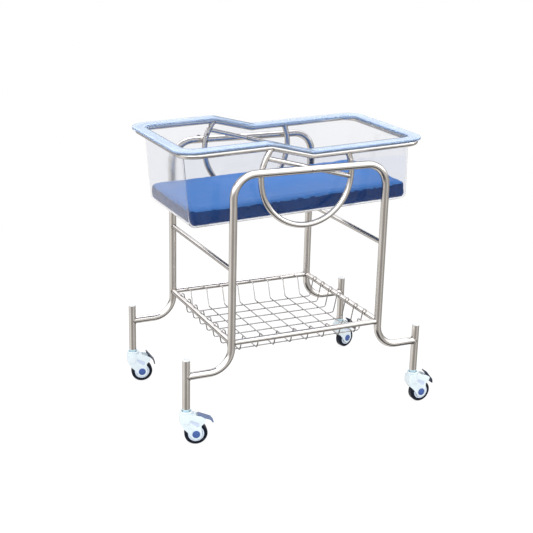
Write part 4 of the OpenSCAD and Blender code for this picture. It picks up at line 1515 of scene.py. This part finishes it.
@dataclass
class Castor:
    """One braked twin-sided castor."""

    palette: Palette
    nodes: dict[str, Piece]
    corner: str
    swivel: float
    pedal_finish: str = "pedal_dark"
    shroud_edge: float = 1.3 * MM
    pedal_edge: float = 0.7 * MM
    merge_within: float = 0.01 * MM
    flat_angle: float = math.radians(1.2)
    sharp_angle: float = math.radians(32)
    smooth_angle: float = math.radians(40)
    facing: float = 0.9
    post_x: float = 423 * MM
    post_y: float = 267 * MM
    recess_y: tuple[float, float] = (15.9 * MM, 16.7 * MM)
    collar_mm: tuple[tuple[float, float], ...] = (
        (14.2, 109.7), (14.2, 113.0), (14.7, 114.4), (15.8, 115.4), (17.2, 115.8), (18.7, 115.4),
        (19.9, 114.3), (20.4, 112.9), (20.4, 110.9), (19.6, 109.7),
    )

    def softened(self, part: str, body: str, finish: str, edge: float) -> Piece:
        """Copies a CAD node and rounds its edges.

        Args:
            part: name of the piece of the castor.
            body: body that it rides on.
            finish: name of its finish.
            edge: width of the rounding.

        Returns:
            The rounded piece.
        """
        node = f"{self.corner}_castor_{part}"
        shape = bmesh.new()
        shape.from_mesh(self.nodes[node].data)
        bmesh.ops.remove_doubles(shape, verts=shape.verts, dist=self.merge_within)
        inner = [e for e in shape.edges if len(e.link_faces) == 2]
        flat = [e for e in inner if e.calc_face_angle() < self.flat_angle]
        bmesh.ops.dissolve_edges(shape, edges=flat, use_verts=True)
        mesh = bpy.data.meshes.new(node + "_form")
        shape.to_mesh(mesh)
        shape.free()
        piece = make_object(node + "_form", mesh, self.palette.made[finish])
        bevel = piece.modifiers.new("Rounding", "BEVEL")
        bevel.width = edge
        bevel.segments = 3
        bevel.limit_method = "ANGLE"
        bevel.angle_limit = self.sharp_angle
        bevel.use_clamp_overlap = True
        bevel.miter_outer = "MITER_ARC"
        settle(piece)
        shade_by_angle(piece.data, self.smooth_angle)
        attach(piece, body)
        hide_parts(node)
        return piece

    def axis(self) -> tuple[float, float]:
        """Returns where the swivel axis stands on the floor plan."""
        x = self.post_x if self.corner.endswith("right") else -self.post_x
        return x, self.post_y if self.corner.startswith("rear") else -self.post_y

    def paint_recess_shade(self, piece: Piece) -> None:
        """Paints the bottom of the pressed wedge on both sides a darker lavender tone: painted shade in the
        recess.

        Args:
            piece: the rounded shroud.
        """
        piece.data.materials.append(self.palette.made["castor_recess_painted_shade"])
        across = Vector((-math.sin(self.swivel), math.cos(self.swivel), 0))
        low, high = self.recess_y
        for face in piece.data.polygons:
            off = abs((face.center - Vector((*self.axis(), 0))).dot(across))
            if low < off < high and abs(face.normal.dot(across)) > self.facing:
                face.material_index = 1

    def collar(self, parts: int = 48) -> None:
        """Adds the rounded collar on the castor head.

        Args:
            parts: steps round the axis.
        """
        x, y = self.axis()
        turns = [2 * math.pi * i / parts for i in range(parts)]
        rings = []
        for across, z in self.collar_mm:
            r = across * MM
            rings.append([(x + r * math.cos(turn), y + r * math.sin(turn), z * MM) for turn in turns])
        name = self.corner + "_castor_collar"
        piece = make_object(name, ring_mesh(name, rings, loop=True), self.palette.made["castor_shell"])
        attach(piece, self.corner + "_swivel_body")

    def build(self) -> None:
        """Rounds the moulded pieces, paints shade into the shroud's wedge recess and gives every piece its
        finish.
        """
        name = self.corner
        body = name + "_swivel_body"
        shroud = self.softened("shroud", body, "castor_shell", self.shroud_edge)
        self.paint_recess_shade(shroud)
        self.collar()
        body = name + "_pedal_body"
        self.softened("brake_pedal", body, self.pedal_finish, self.pedal_edge)
        plain = {
            "castor_neck": "stem", "turned_steel": "axle", "hub_cap_blue": "hub_caps",
            "wheel_core": "wheel_core", "tyre_rubber": "tyre",
        }
        plan = {finish: (f"{name}_castor_{part}",) for finish, part in plain.items()}
        self.palette.dress(self.nodes, plan)


@dataclass(frozen=True)
class Panel:
    """Part of the studio that metal mirrors, with its limits by direction on each axis.

    Limits are where it starts, where it is full and, if it ends, where that begins and is done.
    """

    tone: Triple
    x: tuple[float, ...] = ()
    y: tuple[float, ...] = ()
    z: tuple[float, ...] = ()


@dataclass
class Studio:
    """Plain pale floor, white surround, soft lamps and the camera."""

    eye: Triple = (-1.5821, -3.2823, 1.6655)
    yaw: float = 0.4428
    pitch: float = 0.318
    roll: float = 0.025
    focal_px: float = 1111.8
    picture_px: float = 533.0
    diffuse_level: float = 0.8
    side_tone: Triple = (1.05, 1.02, 0.99)
    front: Panel = Panel((0.44, 0.415, 0.39), y=(-0.1, -0.7))
    far_side: Panel = Panel((0.52, 0.50, 0.48), x=(0.6, 0.9))
    strip: Panel = Panel((0.86, 0.84, 0.81), x=(0.02, 0.25, 0.5, 0.7), y=(-0.1, -0.7))
    under: Panel = Panel((0.10, 0.10, 0.11), y=(0.15, -0.2), z=(-0.97, -0.85, -0.62, -0.48))
    above: Panel = Panel((2.0, 2.0, 2.05), z=(-0.08, 0.24))
    horizon: Panel = Panel((0.10, 0.10, 0.11), y=(0.1, 0.5), z=(-0.12, -0.02, 0.12, 0.28))
    aim: Triple = (0.0, 0.0, 0.6)
    floor_reach: float = 14.0
    floor_tone: Triple = (0.8, 0.8, 0.8)
    shadow_tone: Triple = (0.2, 0.2, 0.2)
    shadow_end: tuple[float, float] = (1.1, 2.4)
    floor_glow: float = 0.86

    def camera(self) -> None:
        """Sets the camera to the photograph's viewing angle."""
        flat = math.cos(self.pitch)
        ahead = Vector((math.sin(self.yaw) * flat, math.cos(self.yaw) * flat, -math.sin(self.pitch)))
        level = Vector((math.cos(self.yaw), -math.sin(self.yaw), 0))
        over = level.cross(ahead)
        right = level * math.cos(self.roll) + over * math.sin(self.roll)
        up = over * math.cos(self.roll) - level * math.sin(self.roll)
        data = bpy.data.cameras.new("view")
        data.sensor_width = 36.0
        data.lens = self.focal_px / self.picture_px * data.sensor_width
        data.clip_start = 0.1
        data.clip_end = 60.0
        camera = put("view", data)
        turn = Matrix((right, up, -ahead)).transposed().to_4x4()
        camera.matrix_world = Matrix.Translation(self.eye) @ turn
        bpy.context.scene.camera = camera

    def lamp(self, name: str, at: Triple, size: tuple[float, float], power: float) -> None:
        """Adds one soft lamp that faces the middle of the bassinet.

        Args:
            name: name of the lamp.
            at: its place.
            size: width and height.
            power: watts.
        """
        data = bpy.data.lights.new(name, "AREA")
        data.shape = "RECTANGLE"
        data.size, data.size_y = size
        data.energy = power
        lamp = put(name, data)
        lamp.location = at
        lamp.rotation_mode = "QUATERNION"
        lamp.rotation_quaternion = (Vector(self.aim) - Vector(at)).to_track_quat("-Z", "Y")
        lamp.visible_camera = False
        lamp.visible_transmission = False

    def mirrored_tone(self, graph: Graph, way: Socket) -> Socket:
        """Gives what bright metal mirrors: panels by direction, so that tubes show bands.

        Args:
            graph: graph of the material.
            way: socket of the direction that is looked at.

        Returns:
            Socket of the colour.
        """
        split = graph.add("ShaderNodeSeparateXYZ", {"Vector": way}).outputs
        tone = self.side_tone
        for panel in (self.front, self.far_side, self.strip, self.under, self.above, self.horizon):
            mask: object = 1.0
            for axis, limits in zip(split, (panel.x, panel.y, panel.z)):
                if limits:
                    mask = graph.math("MULTIPLY", mask, graph.band(axis, *limits))
            tone = graph.blend(mask, tone, panel.tone)
        return tone

    def surround(self) -> None:
        """Makes the world white where seen, a studio where mirrored and softer where it lights."""
        world = bpy.data.worlds.new("surround")
        world.use_nodes = True
        bpy.context.scene.world = world
        graph = Graph(world.node_tree)
        world.node_tree.nodes.clear()
        studio = self.mirrored_tone(graph, graph.add("ShaderNodeTexCoord").outputs["Generated"])
        tone = graph.blend(graph.seen_mirrored(), (self.diffuse_level,) * 3, studio)
        tone = graph.blend(graph.seen_directly(), tone, (1.0, 1.0, 1.0))
        graph.add("ShaderNodeOutputWorld", {"Surface": graph.add("ShaderNodeBackground", {"Color": tone})})

    def floor_material(self) -> bpy.types.Material:
        """Makes the pale floor: matt where it lights, a studio where mirrored, glowing where seen.

        Returns:
            The material.
        """
        material = bpy.data.materials.new("pale_floor")
        material.use_nodes = True
        graph = Graph(material.node_tree)
        material.node_tree.nodes.clear()
        place = graph.add("ShaderNodeTexCoord").outputs["Object"]
        length = graph.add("ShaderNodeVectorMath", {0: place}, operation="LENGTH")
        far = graph.fade(length.outputs["Value"], *self.shadow_end)
        incoming = graph.add("ShaderNodeNewGeometry").outputs["Incoming"]
        way = graph.add("ShaderNodeVectorMath", {0: incoming, "Scale": -1.0}, operation="SCALE")
        studio = self.mirrored_tone(graph, way.outputs["Vector"])
        glow = graph.math("MULTIPLY_ADD", far, 1 - self.floor_glow, self.floor_glow)
        shadow = graph.blend(far, self.shadow_tone, (0.0, 0.0, 0.0))
        matt = graph.add("ShaderNodeBsdfDiffuse", {"Color": (*self.floor_tone, 1.0)})
        mirrored = graph.add("ShaderNodeEmission", {"Color": studio})
        glowing = graph.add("ShaderNodeEmission", {"Strength": glow})
        shaded = graph.add("ShaderNodeBsdfDiffuse", {"Color": shadow})
        seen = graph.add("ShaderNodeAddShader", {0: glowing, 1: shaded})
        bounce = graph.add("ShaderNodeMixShader", {0: graph.seen_mirrored(), 1: matt, 2: mirrored})
        mix = graph.add("ShaderNodeMixShader", {0: graph.seen_directly(), 1: bounce, 2: seen})
        graph.add("ShaderNodeOutputMaterial", {"Surface": mix})
        return material

    def floor(self) -> None:
        """Lays a plain pale floor that reads white and keeps a faint shadow."""
        mesh = bpy.data.meshes.new("floor")
        reach = self.floor_reach
        corners = [(-reach, -reach, 0), (reach, -reach, 0), (reach, reach, 0), (-reach, reach, 0)]
        mesh.from_pydata(corners, [], [(0, 1, 2, 3)])
        mesh.materials.append(self.floor_material())
        floor = put("floor", mesh)

    def build(self) -> None:
        """Sets up the view, the surround, the floor and the lamps."""
        bpy.context.scene.view_settings.view_transform = "Standard"
        self.camera()
        self.surround()
        self.floor()
        self.lamp("key", (-2.2, -2.2, 2.6), (1.6, 1.2), 60.0)
        self.lamp("fill", (2.6, -1.8, 1.9), (1.2, 1.6), 24.0)
        self.lamp("top", (0.2, 0.4, 3.2), (1.8, 1.4), 22.0)
        log.info("studio set")


def main() -> None:
    """Loads the frame, builds every sub-assembly and sets the studio."""
    logging.basicConfig(level=logging.INFO, format="%(name)s: %(message)s")
    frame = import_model()
    nodes = frame["nodes"]
    Studio().build()
    palette = Palette()
    palette.build()
    beads = bead_rig()
    spots = spot_rig()
    stand = Stand(palette, nodes)
    stand.dress()
    stand.build(beads, spots)
    cradle = Cradle(palette, nodes)
    cradle.dress()
    cradle.build(beads)
    Tub(palette).build()
    Cushion(palette).build()
    swivels = {"front_left": -15.4, "rear_left": -11.7, "front_right": 0.2, "rear_right": 16.5}
    for corner, swivel in swivels.items():
        pedal = "pedal_grey_blue" if corner == "front_left" else "pedal_dark"
        Castor(palette, nodes, corner, math.radians(swivel), pedal).build()
        log.info("castor %s", corner)


if __name__ == "__main__":
    main()
